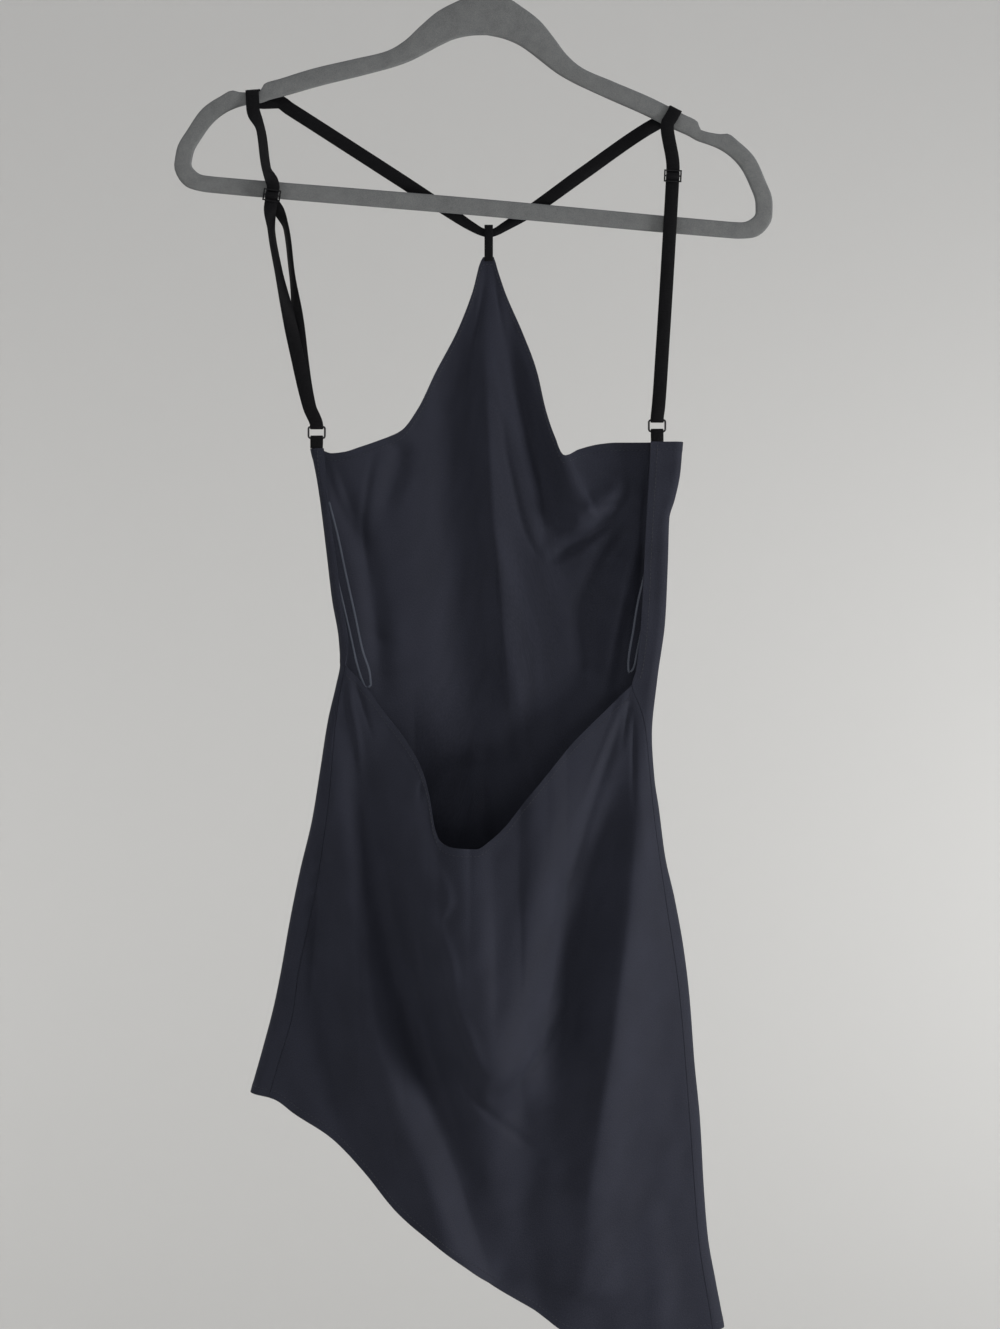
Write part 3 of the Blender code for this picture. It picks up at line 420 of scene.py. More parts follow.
LEFT_DOWN = [Step(*r) for r in (
    (-173.4, -7.4, -246, -180, 25, 9.6), (-172.0, -9.4, -262, -180, 60, 9.6),
    (-167.0, -9.4, -290, -180, 56, 9.6), (-160.0, -8.2, -322, -180, 28, 10),
    (-154.0, -7.0, -350, -180, 0, 10), (-144.0, -6.75, -392, -180, 0, 10))]
LEFT_UP = [Step(*r) for r in (
    (-144.0, -3.7, -392, -180, 0, 10), (-150.5, -4.0, -350, -180, 0, 10),
    (-153.0, -3.9, -325, -180, -24, 9.6), (-157.4, -5.0, -290, -180, -60, 9),
    (-161.5, -5.2, -258, -180, -60, 9), (-167.0, -4.8, -245, -180, -20, 9))]


class Curve:
    """A smooth single-valued curve through a table's points."""

    def __init__(self, at: Sequence[float], value: Sequence[float]) -> None:
        order = np.argsort(at)
        self.at = np.asarray(at, float)[order]
        self.value = np.asarray(value, float)[order]
        step = np.diff(self.at)
        slope = np.diff(self.value) / step
        tangent = np.zeros_like(self.at)
        tangent[0], tangent[-1] = slope[0], slope[-1]
        for i in range(1, len(slope)):
            if slope[i - 1] * slope[i] > 0:
                a = 2 * step[i] + step[i - 1]
                b = step[i] + 2 * step[i - 1]
                tangent[i] = (a + b) / (a / slope[i - 1] + b / slope[i])
        self.tangent = tangent

    def __call__(self, where: np.ndarray | float) -> np.ndarray:
        """Value at each place, held level past the ends."""
        where = np.clip(np.asarray(where, float), self.at[0], self.at[-1])
        i = np.clip(np.searchsorted(self.at, where) - 1, 0, len(self.at) - 2)
        step = self.at[i + 1] - self.at[i]
        t = (where - self.at[i]) / step
        return ((2 * t**3 - 3 * t**2 + 1) * self.value[i]
                + (t**3 - 2 * t**2 + t) * step * self.tangent[i]
                + (3 * t**2 - 2 * t**3) * self.value[i + 1]
                + (t**3 - t**2) * step * self.tangent[i + 1])


def curve_of(table: Sequence[Edge] | Sequence[Rim]) -> Curve:
    """A table's second column as a curve over its first."""
    return Curve(*zip(*table))


def eased(t: np.ndarray) -> np.ndarray:
    """A rise from 0 to 1 that starts and ends level."""
    return t * t * (3 - 2 * t)


def run_length(points: np.ndarray) -> np.ndarray:
    """Distance of each row of places from the first row."""
    step = np.linalg.norm(np.diff(points, axis=0), axis=-1)
    return np.concatenate([np.zeros_like(step[:1]), np.cumsum(step, axis=0)])


def settle(start: float, rate: float, rounds: int,
           target: Callable[[float], float]) -> float:
    """The height that a target gives back, reached in small steps."""
    z = start
    for _ in range(rounds):
        z += rate * (float(target(z)) - z)
    return z


def through(points: Sequence[Sequence[float]], spacing: float,
            place: int = 3) -> np.ndarray:
    """Points along a smooth line through the given ones.

    Args:
        points: rows of any number of columns.
        spacing: the greatest distance between two results.
        place: how many of the first columns are a place.

    Returns:
        The denser rows, which include the given ones.
    """
    rows = np.asarray(points, float)
    run = run_length(rows[:, :place])
    at = [0.0]
    for a, b in zip(run, run[1:]):
        count = max(2, math.ceil((b - a) / spacing))
        at += [a + (b - a) * k / count for k in range(1, count + 1)]
    return np.stack([Curve(run, rows[:, c])(np.array(at))
                     for c in range(rows.shape[1])], axis=1)


def shaped_noise(x: np.ndarray, z: np.ndarray, seed: int, tall: float,
                 low: float, high: float) -> np.ndarray:
    """A quiet unevenness, longer down the cloth than across it.

    Args:
        x: places across, in millimetres.
        z: places up, in millimetres.
        seed: which pattern.
        tall: how much longer it is down than across.
        low: shortest wave across, in millimetres.
        high: longest wave across, in millimetres.

    Returns:
        Values of about -1 to 1.
    """
    rng = np.random.default_rng(seed)
    total = np.zeros(np.broadcast(x, z).shape)
    for wave in np.geomspace(low, high, 7):
        lean, start = rng.uniform(-0.5, 0.5), rng.uniform(0, 2 * math.pi)
        bend, slow = rng.uniform(2.0, 6.0), rng.uniform(60.0, 120.0)
        total += np.sin(2 * math.pi * (x + lean * z / tall
                                       + bend * np.sin(z / slow + start))
                        / wave + start) \
            * np.sin(2 * math.pi * z / (wave * tall) + 2.1 * start)
    return total / 3.0


class DressForm:
    """The dress's two layers, each a depth over X and height."""

    def __init__(self) -> None:
        self.edge = {Side.LEFT: curve_of(LEFT_EDGE),
                     Side.RIGHT: curve_of(RIGHT_EDGE)}
        self.seam = {Side.LEFT: curve_of(LEFT_SEAM),
                     Side.RIGHT: curve_of(RIGHT_SEAM)}
        self.top = curve_of(FRONT_TOP)
        self.cowl = curve_of(COWL_TOP)
        self.hem = curve_of(HEM)
        heights, *columns = zip(*LEVELS)
        self.middle, self.round, self.near_bulge, self.far_bulge = (
            Curve(heights, column) for column in columns)

    @staticmethod
    def relief(folds: Sequence[Fold], x: np.ndarray,
               z: np.ndarray) -> np.ndarray:
        """Sum of the folds' heights at the places x, z."""
        total = np.zeros(np.broadcast(x, z).shape)
        for fold in folds:
            px, pz, height = (np.array(c, float) for c in zip(*fold.path))
            run, across, at, off = ((pz, px, z, x) if fold.along == "z"
                                    else (px, pz, x, z))
            path, tall = Curve(run, across), Curve(run, height)
            slope = (path(at + 1.0) - path(at - 1.0)) / 2.0
            away = (off - path(at)) / np.sqrt(1.0 + slope**2)
            width = np.where(away < 0, fold.left, fold.right)
            over = (np.maximum(run.min() - at, 0)
                    + np.maximum(at - run.max(), 0))
            total = total + tall(at) * np.exp(-(away / width)**2) \
                * np.exp(-(over / FOLD_FADE)**2)
        return total

    def pucker(self, x: np.ndarray, z: np.ndarray) -> np.ndarray:
        """Small gathers across the two side seams, below the waist."""
        total = np.zeros(np.broadcast(x, z).shape)
        for side, (phase, tall) in PUCKERS.items():
            off = (x - self.seam[side](z)) / PUCKER_REACH
            swing = np.sin(z / 5.1 + 3.1 * np.sin(z / 17.0 + phase) + phase)
            size = tall * (1.0 + 0.9 * np.sin(z / 31.0 + 2 * phase))
            below = 1 / (1 + np.exp((z - PUCKER_TOP) / 5.0))
            total += swing * size * np.exp(-off**2) * below
        return total

    def depth(self, x: np.ndarray, z: np.ndarray, near: bool,
              inset: np.ndarray) -> np.ndarray:
        """Y of a layer; inset is the way from the outline."""
        radius = self.round(z)
        left, right = self.edge[Side.LEFT](z), self.edge[Side.RIGHT](z)
        share = np.clip((x - left) / (right - left), 0, 1)
        if near:
            share = share**NEAR_LEAN
        swell = (4 * share * (1 - share))**SWELL_POWER
        rest = 1.0 - np.clip(inset / radius, 0.0, 1.0)
        rounding = radius * np.sqrt(np.maximum(1.0 - rest**2, 0.0))
        calm = eased(np.clip(inset / (CALM_REACH * radius), 0.0, 1.0))
        if near:
            waves = 0.55 * shaped_noise(x, z, seed=11, tall=4.0, low=22.0,
                                        high=90.0)
            return (self.middle(z) - rounding - self.near_bulge(z) * swell
                    - (self.relief(BACK_FOLDS, x, z)
                       + self.relief(BACK_DETAIL, x, z) + waves) * calm
                    - self.pucker(x, z))
        waves = 0.5 * shaped_noise(x, z, seed=5, tall=5.0, low=26.0,
                                   high=100.0)
        return (self.middle(z) + rounding + self.far_bulge(z) * swell
                - (self.relief(FRONT_FOLDS, x, z)
                   + self.relief(FRONT_DETAIL, x, z) + waves) * calm)


@dataclass
class Column:
    """One line of the cloth from its top edge to its hem."""

    form: DressForm
    x_at: Callable[[np.ndarray], np.ndarray]
    inset_at: Callable[[np.ndarray], np.ndarray]
    near: bool
    top: float
    waist: float
    lift: float
    bottom: float = field(default=0.0)

    def __post_init__(self) -> None:
        self.bottom = settle(
            -1000.0, 0.6, 40,
            lambda z: self.form.hem(self.x_at(z)) + self.lift)

    def levels(self, upper: int, lower: int) -> np.ndarray:
        """Heights of the rows above and below the waist line."""
        return np.concatenate([
            np.linspace(self.top, self.waist, upper, endpoint=False),
            np.linspace(self.waist, self.bottom, lower)])

    def points(self, z: np.ndarray) -> np.ndarray:
        """Places on the cloth's middle surface at the heights z."""
        x, inset = self.x_at(z), self.inset_at(z)
        y = self.form.depth(x, z, self.near, inset)
        return np.stack([x, y, z], axis=-1)


@dataclass
class Patch:
    """A grid of points of a piece of cloth, with normals and walls."""

    grid: np.ndarray
    normal: np.ndarray
    wall: np.ndarray

    def run_down(self) -> np.ndarray:
        """Distance of each point from the grid's first row."""
        return run_length(self.grid)

    def run_across(self) -> np.ndarray:
        """Distance of each point from the grid's first column."""
        return run_length(self.grid.swapaxes(0, 1)).swapaxes(0, 1)

    def mapped(self, change: Callable[[np.ndarray], np.ndarray]) -> Patch:
        """The same change made to the points, normals and walls."""
        return Patch(*(change(a) for a in (self.grid, self.normal,
                                           self.wall)))

    def turned(self) -> Patch:
        """The same patch with rows and columns swapped."""
        return self.mapped(lambda a: a.swapaxes(0, 1))

    def flipped(self) -> Patch:
        """The same patch from its last row to its first."""
        return self.mapped(lambda a: a[::-1])

    def line_in(self, distance: float) -> tuple[np.ndarray, np.ndarray]:
        """A line at a distance in from the first row, and its normals."""
        run = self.run_down()
        row = np.maximum(np.argmax(run >= distance, axis=0), 1)
        col = np.arange(run.shape[1])
        low = run[row - 1, col]
        t = ((distance - low) / (run[row, col] - low + 1e-9))[:, None]
        place = self.grid[row - 1, col] * (1 - t) + self.grid[row, col] * t
        return place, self.normal[row, col]

    def fold_edges(self, left: float, right: float) -> None:
        """Thickens the wall where an edge is turned and stitched.

        The first and the last row are turned all along.

        Args:
            left: height above which the first column's edge is turned.
            right: the same for the last column.
        """
        down, across = self.run_down(), self.run_across()
        height, share = self.grid[..., 2], np.zeros_like(self.wall)
        for run, above in ((down, -np.inf), (down[-1] - down, -np.inf),
                           (across, left), (across[:, -1:] - across, right)):
            t = np.clip((HEM_FOLD + 1.0 - run) / HEM_SLOPE, 0, 1)
            share = np.maximum(share, eased(t) * (height > above))
        self.wall = self.wall + HEM_EXTRA * share


def grid_normals(grid: np.ndarray, closed: bool = False) -> np.ndarray:
    """Unit normals of a grid of points."""
    down = np.gradient(grid, axis=0)
    across = (np.roll(grid, -1, axis=1) - np.roll(grid, 1, axis=1)
              if closed else np.gradient(grid, axis=1))
    normal = np.cross(down, across)
    return normal / np.maximum(
        np.linalg.norm(normal, axis=-1, keepdims=True), 1e-9)


def mesh_object(name: str, points: np.ndarray, faces: list[tuple[int, ...]],
                finish: bpy.types.Material, uv: np.ndarray | None = None,
                sharp: float = 40.0) -> bpy.types.Object:
    """Makes a smooth-shaded object from points in millimetres.

    Args:
        name: the object's name.
        points: N by 3.
        faces: corner indices.
        finish: its material.
        uv: a texture place per point, in metres.
        sharp: edges bent more than this, in degrees, stay sharp.

    Returns:
        The object, linked to the scene.
    """
    mesh = bpy.data.meshes.new(name)
    mesh.from_pydata((np.asarray(points) * MM).tolist(), [], faces)
    mesh.materials.append(finish)
    mesh.polygons.foreach_set("use_smooth", np.ones(len(mesh.polygons), bool))
    mesh.set_sharp_from_angle(angle=math.radians(sharp))
    if uv is not None:
        layer = mesh.uv_layers.new(name="cloth")
        index = np.zeros(len(mesh.loops), np.int32)
        mesh.loops.foreach_get("vertex_index", index)
        layer.data.foreach_set("uv", np.asarray(uv)[index].ravel())
    mesh.update()
    thing = bpy.data.objects.new(name, mesh)
    bpy.context.scene.collection.objects.link(thing)
    return thing


def shell(name: str, patch: Patch,
          finish: bpy.types.Material) -> bpy.types.Object:
    """A closed wall of cloth round a patch."""
    rows, columns = patch.wall.shape
    half = patch.normal * patch.wall[..., None] / 2
    points = np.concatenate([(patch.grid + half).reshape(-1, 3),
                             (patch.grid - half).reshape(-1, 3)])
    under = rows * columns
    base = (np.arange(rows - 1)[:, None] * columns
            + np.arange(columns - 1)[None, :]).ravel()
    front = np.stack([base, base + 1, base + columns + 1, base + columns], 1)
    back = front[:, ::-1] + under
    rim = np.concatenate([
        np.arange(columns), np.arange(1, rows) * columns + columns - 1,
        (rows - 1) * columns + np.arange(columns - 2, -1, -1),
        np.arange(rows - 2, 0, -1) * columns])
    nxt = np.roll(rim, -1)
    side = np.stack([nxt, rim, rim + under, nxt + under], 1)
    faces = np.concatenate([front, back, side]).tolist()
    uv = np.stack([patch.run_across(), patch.run_down()], -1).reshape(-1, 2)
    uv = np.concatenate([uv, uv]) * MM
    return mesh_object(name, points, faces, finish, uv, sharp=60.0)


def ring_faces(count: int, sides: int, closed: bool = False,
               first: int = 0) -> list[tuple[int, ...]]:
    """Quads that join each ring of points to the next.

    Args:
        count: how many rings there are.
        sides: points in each.
        closed: whether the last ring is joined to the first.
        first: index of the first ring's first point.
    """
    faces = []
    for i in range(count if closed else count - 1):
        a, b = first + i * sides, first + (i + 1) % count * sides
        for k in range(sides):
            m = (k + 1) % sides
            faces.append((a + k, a + m, b + m, b + k))
    return faces


def tube(name: str, sections: Sequence[Sequence[Sequence[float]]],
         finish: bpy.types.Material, closed: bool,
         sharp: float = 40.0) -> bpy.types.Object:
    """Sections joined in turn, capped at the ends if it is open."""
    count, sides = len(sections), len(sections[0])
    rings = np.asarray(sections, float)
    run = run_length(rings.mean(axis=1))
    uv = np.stack([np.tile(np.arange(sides) / sides * 0.02, count),
                   np.repeat(run * MM, sides)], axis=1)
    faces = ring_faces(count, sides, closed)
    if not closed:
        faces.append(tuple(range(sides))[::-1])
        faces.append(tuple((count - 1) * sides + k for k in range(sides)))
    thing = mesh_object(name, rings.reshape(-1, 3), faces, finish, uv, sharp)
    outward(thing)
    return thing


def outward(thing: bpy.types.Object) -> None:
    """Turns a closed object's faces out."""
    mesh = thing.data
    mesh.calc_loop_triangles()
    co = np.zeros(len(mesh.vertices) * 3)
    mesh.vertices.foreach_get("co", co)
    tri = np.zeros(len(mesh.loop_triangles) * 3, np.int32)
    mesh.loop_triangles.foreach_get("vertices", tri)
    corner = co.reshape(-1, 3)[tri.reshape(-1, 3)]
    corner = corner - corner.mean(axis=(0, 1))
    volume = np.einsum("ij,ij->i", corner[:, 0],
                       np.cross(corner[:, 1], corner[:, 2])).sum()
    if volume < 0:
        mesh.flip_normals()


def ribbon(name: str, steps: Sequence[Step], finish: bpy.types.Material,
           wall: float = RIBBON, spacing: float = 3.0) -> bpy.types.Object:
    """A flat band with rounded sides along a path of steps."""
    rows = through(steps, spacing)
    centre = rows[:, :3]
    tangent = np.gradient(centre, axis=0)
    for i in range(1, len(centre) - 1):
        a, b = centre[i] - centre[i - 1], centre[i + 1] - centre[i]
        tangent[i] = a / np.linalg.norm(a) + b / np.linalg.norm(b)
    tangent /= np.linalg.norm(tangent, axis=1, keepdims=True)
    sections = []
    for place, along, (lay, turn, width) in zip(centre, tangent, rows[:, 3:]):
        lay, turn = math.radians(lay), math.radians(turn)
        wide = np.array((math.cos(lay) * math.cos(turn), -math.sin(turn),
                         math.sin(lay) * math.cos(turn)))
        wide -= along * float(np.dot(wide, along))
        wide /= np.linalg.norm(wide)
        thick = np.cross(along, wide) * wall / 2
        thin = RIBBON_EDGE * thick
        w, n = wide * width / 2, wide * (width / 2 - RIBBON_EDGE)
        sections.append([place - w - thin, place - n - thick,
                         place + n - thick, place + w - thin,
                         place + w + thin, place + n + thick,
                         place - n + thick, place - w + thin])
    return tube(name, sections, finish, closed=False)


def wire(name: str, path: np.ndarray, radius: float, sides: int,
         finish: bpy.types.Material, closed: bool,
         round_end: bool = False) -> bpy.types.Object:
    """A round wire along a path in a plane of constant Y."""
    path = np.asarray(path, float)
    sections = []
    for i, place in enumerate(path):
        if closed:
            along = path[(i + 1) % len(path)] - path[i - 1]
        else:
            along = path[min(i + 1, len(path) - 1)] - path[max(i - 1, 0)]
        along = along / np.linalg.norm(along)
        out = np.cross(along, (0.0, 1.0, 0.0))
        out = out / np.linalg.norm(out)
        ring = [math.cos(a) * out + math.sin(a) * np.array((0, 1.0, 0))
                for a in (2 * math.pi * (k + 0.5) / sides
                          for k in range(sides))]
        sections.append([place + radius * r for r in ring])
        if round_end and i == len(path) - 1:
            sections += [[place + along * radius * math.sin(t)
                          + radius * math.cos(t) * r for r in ring]
                         for t in (0.4, 0.8, 1.2, 1.5)]
    return tube(name, sections, finish, closed)


def hand_over(thing: bpy.types.Object, node: str) -> None:
    """Puts a piece on the body and for its CAD node."""
    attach(thing, "root")
    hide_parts(node)


def from_hanger(x: float, z: float) -> tuple[float, float]:
    """A point on the tilted hanger, from its own axes to the frame."""
    c, s = math.cos(TILT), math.sin(TILT)
    x += HANGER_MIDDLE
    return x * c + z * s + HANGER_ZERO[0], -x * s + z * c + HANGER_ZERO[1]


class Texture(Enum):
    """Kinds of surface detail that a finish can have."""

    WOVEN = "woven"
    RIBBED = "ribbed"
    FLOCKED = "flocked"
    PLAIN = "plain"


def set_inputs(node: bpy.types.Node, values: dict[str, object]) -> None:
    """Sets inputs of a node that nothing is linked to."""
    for label, value in values.items():
        node.inputs[label].default_value = value


@dataclass(frozen=True)
class Finish:
    """How one material looks.

    Attributes:
        name: the material's name.
        dark: darker tone, linear, and the only one if it is plain.
        roughness: middle roughness.
        texture: its surface detail.
        light: lighter tone, linear.
        scale: details per metre.
        relief: height of the detail, in metres.
        sheen: share of fabric sheen.
        metallic: 1 for bare metal.
        specular: strength of the plain reflection.
    """

    name: str
    dark: tuple[float, float, float]
    roughness: float
    texture: Texture = Texture.PLAIN
    light: tuple[float, float, float] = (0.0, 0.0, 0.0)
    scale: float = 1000.0
    relief: float = 0.00002
    sheen: float = 0.0
    metallic: float = 0.0
    specular: float = 0.5

    def material(self) -> bpy.types.Material:
        """Builds the material, with its detail from a shared group."""
        made = bpy.data.materials.new(self.name)
        made.use_nodes = True
        tree = made.node_tree
        shader = tree.nodes["Principled BSDF"]
        set_inputs(shader, {"Roughness": self.roughness,
                            "Metallic": self.metallic,
                            "Specular IOR Level": self.specular,
                            "Base Color": (*self.dark, 1.0)})
        if self.sheen:
            set_inputs(shader, {"Sheen Weight": self.sheen,
                                "Sheen Roughness": 0.45,
                                "Sheen Tint": (0.80, 0.86, 1.0, 1.0)})
        if self.texture is Texture.PLAIN:
            return made
        group = tree.nodes.new("ShaderNodeGroup")
        group.node_tree = detail_group(self.texture)
        set_inputs(group, {"Scale": self.scale, "Dark": (*self.dark, 1.0),
                           "Light": (*self.light, 1.0),
                           "Base Roughness": self.roughness})
        bump = tree.nodes.new("ShaderNodeBump")
        set_inputs(bump, {"Distance": self.relief, "Strength": 1.0})
        link = tree.links.new
        link(group.outputs["Color"], shader.inputs["Base Color"])
        link(group.outputs["Roughness"], shader.inputs["Roughness"])
        link(group.outputs["Height"], bump.inputs["Height"])
        link(bump.outputs["Normal"], shader.inputs["Normal"])
        return made


def detail_group(kind: Texture) -> bpy.types.NodeTree:
    """The shared detail of a kind of surface, made once."""
    name = f"{kind.value}_detail"
    if name in bpy.data.node_groups:
        return bpy.data.node_groups[name]
    group = bpy.data.node_groups.new(name, "ShaderNodeTree")
    for label, sort, way in (
            ("Scale", "Float", "INPUT"), ("Dark", "Color", "INPUT"),
            ("Light", "Color", "INPUT"), ("Base Roughness", "Float", "INPUT"),
            ("Color", "Color", "OUTPUT"), ("Roughness", "Float", "OUTPUT"),
            ("Height", "Float", "OUTPUT")):
        group.interface.new_socket(label, in_out=way,
                                   socket_type=f"NodeSocket{sort}")
    nodes, link = group.nodes, group.links.new
    given = nodes.new("NodeGroupInput").outputs
    result = nodes.new("NodeGroupOutput").inputs
    place = nodes.new("ShaderNodeTexCoord")
    flocked, woven = kind is Texture.FLOCKED, kind is Texture.WOVEN
    where = place.outputs["Object" if flocked else "UV"]

    def math_node(operation: str, a, b) -> bpy.types.NodeSocket:
        node = nodes.new("ShaderNodeMath")
        node.operation = operation
        for socket, value in zip(node.inputs, (a, b)):
            if isinstance(value, (int, float)):
                socket.default_value = value
            else:
                link(value, socket)
        return node.outputs[0]

    def noise(detail: float,
              scale: bpy.types.NodeSocket) -> bpy.types.NodeSocket:
        node = nodes.new("ShaderNodeTexNoise")
        set_inputs(node, {"Detail": detail})
        link(where, node.inputs["Vector"])
        link(scale, node.inputs["Scale"])
        return node.outputs["Fac"]

    fine = height = noise(3.0, given["Scale"])
    patchy = noise(2.0, math_node("MULTIPLY", given["Scale"],
                                  0.02 if woven else 0.05))
    if not flocked:
        split = nodes.new("ShaderNodeSeparateXYZ")
        link(where, split.inputs[0])
        turns = math_node("MULTIPLY", given["Scale"], 2 * math.pi)
        lines, *crossing = (
            math_node("SINE", math_node("MULTIPLY", split.outputs[axis],
                                        turns), 0)
            for axis in ("YX" if woven else "Y"))
        for other in crossing:
            lines = math_node("MULTIPLY", lines, other)
        height = math_node("ADD", math_node("MULTIPLY", lines, 0.25), height)
    blend = nodes.new("ShaderNodeMix")
    blend.data_type = "RGBA"
    tone = nodes.new("ShaderNodeMapRange")
    set_inputs(tone, {"From Min": 0.34, "From Max": 0.70})
    link(math_node("ADD", math_node("MULTIPLY", fine, 0.75),
                   math_node("MULTIPLY", patchy, 0.25)), tone.inputs["Value"])
    link(tone.outputs["Result"], blend.inputs["Factor"])
    link(given["Dark"], blend.inputs[6])
    link(given["Light"], blend.inputs[7])
    link(blend.outputs[2], result["Color"])
    swing = math_node("MULTIPLY", math_node("SUBTRACT", patchy, 0.5), 0.16)
    link(math_node("ADD", given["Base Roughness"], swing),
         result["Roughness"])
    link(height, result["Height"])
    return group


CLOTH_FINISH = Finish("cloth", (0.0150, 0.0162, 0.0236), 0.68,
                      Texture.WOVEN, (0.0310, 0.0332, 0.0475), 1400.0,
                      0.00012, sheen=0.02, specular=0.08)
SATIN_FINISH = Finish("strap_satin", (0.0020, 0.0020, 0.0026), 0.60,
                      Texture.RIBBED, (0.0050, 0.0050, 0.0060), 1100.0,
                      0.00008, specular=0.10)
THREAD_FINISH = Finish("thread", (0.012, 0.013, 0.018), 0.60)
SLIDER_FINISH = Finish("black_metal", (0.006, 0.006, 0.007), 0.5,
                       specular=0.2)
RING_FINISH = Finish("ring_metal", (0.010, 0.010, 0.012), 0.30)
CLEAR_FINISH = Finish("hang_ribbon", (0.045, 0.052, 0.070), 0.35,
                      Texture.RIBBED, (0.085, 0.096, 0.125), 1500.0,
                      0.00003, specular=0.3)
FLOCK_FINISH = Finish("grey_flock", (0.118, 0.122, 0.123), 0.95,
                      Texture.FLOCKED, (0.195, 0.200, 0.200), 2600.0,
                      0.00025, sheen=0.08, specular=0.10)
STEEL_FINISH = Finish("steel", (0.60, 0.60, 0.61), 0.22, metallic=1.0)
WALL_FINISH = Finish("wall", (0.565, 0.562, 0.550), 0.9, specular=0.1)


@dataclass
class Dress:
    """The two sewn panels with their turned edges and stitches.

    Attributes:
        upper: rows above the waist line.
        lower: rows below it.
        strip: columns on each near-side strip.
        turn: columns on the rounding of each outline.
        far: columns across the far layer.
        back: columns across the draped panel.
    """

    form: DressForm = field(default_factory=DressForm)
    upper: int = 88
    lower: int = 140
    strip: int = 13
    turn: int = 7
    far: int = 170
    back: int = 190

    def strip_column(self, side: Side, share: float, off: float) -> Column:
        """A near-side column from the seam (share 0) to the outline (1)."""
        form, sign = self.form, INWARD[side]
        edge, seam = form.edge[side], form.seam[side]
        quarter = math.pi / 2

        def inset(z: np.ndarray) -> np.ndarray:
            radius, full = form.round(z), (seam(z) - edge(z)) * sign
            bent = np.arccos(np.clip(1 - full / radius, 0, 1)) * radius
            reach = np.where(full < radius, bent,
                             full - radius + radius * quarter)
            reach = reach * (1 - share) + off
            curved = radius * (1 - np.cos(
                np.clip(reach / radius, 0, quarter)))
            return np.where(reach < radius * quarter, curved,
                            reach - radius * quarter + radius)

        return Column(form, lambda z: edge(z) + sign * inset(z), inset, True,
                      float(form.top(TOP_X[side])), WAIST[side], 0.0)

    def turn_column(self, side: Side, share: float) -> Column:
        """A far-side column on the rounding of the outline."""
        form, sign = self.form, INWARD[side]
        edge, away = form.edge[side], 1 - math.cos(share * math.pi / 2)

        def inset(z: np.ndarray) -> np.ndarray:
            return form.round(z) * away

        top = float(form.top(TOP_X[side] + sign * 4 * away))
        return Column(form, lambda z: edge(z) + sign * inset(z), inset, False,
                      top, WAIST[side], HEM_DROP * share)

    def far_column(self, top_x: float) -> Column:
        """A far-side column, by where it starts on the top edge."""
        form = self.form
        share = (top_x - FAR_TOP[0]) / (FAR_TOP[1] - FAR_TOP[0])
        left_waist, right_waist = WAIST.values()

        def x_at(z: np.ndarray) -> np.ndarray:
            radius = form.round(z)
            left = form.edge[Side.LEFT](z) + radius
            right = form.edge[Side.RIGHT](z) - radius
            return left + share * (right - left)

        return Column(form, x_at, self.inset_of(x_at), False,
                      float(form.top(top_x)),
                      left_waist + share * (right_waist - left_waist),
                      HEM_DROP)

    def inset_of(self, x_at: Callable) -> Callable:
        """The way from a column to the nearer outline."""
        edge = self.form.edge

        def inset(z: np.ndarray) -> np.ndarray:
            x = x_at(z)
            return np.minimum(x - edge[Side.LEFT](z),
                              edge[Side.RIGHT](z) - x)

        return inset

    def back_column(self, share: float) -> Column:
        """A column of the draped panel between its two seams."""
        form = self.form

        def x_at(z: np.ndarray) -> np.ndarray:
            left, right = form.seam[Side.LEFT](z), form.seam[Side.RIGHT](z)
            return left + SEAM / 2 + share * (right - left - SEAM)

        column = Column(form, x_at, self.inset_of(x_at), True, 0, 0, 0.0)
        column.waist = settle(-650.0, 0.5, 60, lambda z: form.cowl(x_at(z)))
        return column

    def patches(self) -> tuple[Patch, Patch]:
        """The front and back panels, with normals shared at the seams."""
        strip = np.linspace(0, 1, self.strip)
        half = SEAM / 2
        front = [self.strip_column(Side.LEFT, s, -half if s == 0 else 0.0)
                 for s in strip]
        front += [self.turn_column(Side.LEFT, s)
                  for s in np.linspace(0, 1, self.turn + 1)[1:]]
        front += [self.far_column(x)
                  for x in np.linspace(*FAR_TOP, self.far + 2)[1:-1]]
        front += [self.turn_column(Side.RIGHT, s)
                  for s in np.linspace(1, 0, self.turn + 1)[:-1]]
        front += [self.strip_column(Side.RIGHT, s, -half if s == 0 else 0.0)
                  for s in strip[::-1]]
        back = [self.back_column(s) for s in np.linspace(0, 1, self.back)]
        back[0].waist, back[-1].waist = WAIST.values()
        for end in (0, -1):
            back[end].bottom = front[end].bottom
        fine = np.stack([c.points(c.levels(self.upper, self.lower))
                         for c in front], axis=1)
        drape = np.stack([c.points(c.levels(0, self.lower)) for c in back],
                         axis=1)
        normal = grid_normals(fine)
        ring = np.concatenate([fine[self.upper:], drape[:, ::-1]], axis=1)
        around = grid_normals(ring, closed=True)
        normal[self.upper:] = around[:, :fine.shape[1]]
        drape_normal = around[:, fine.shape[1]:][:, ::-1].copy()
        for end in (0, -1):
            shared = normal[self.upper:, end] + drape_normal[:, end]
            shared /= np.linalg.norm(shared, axis=-1, keepdims=True)
            normal[self.upper:, end] = drape_normal[:, end] = shared
        return (Patch(fine, normal, np.full(fine.shape[:2], CLOTH)),
                Patch(drape, drape_normal, np.full(drape.shape[:2], CLOTH)))

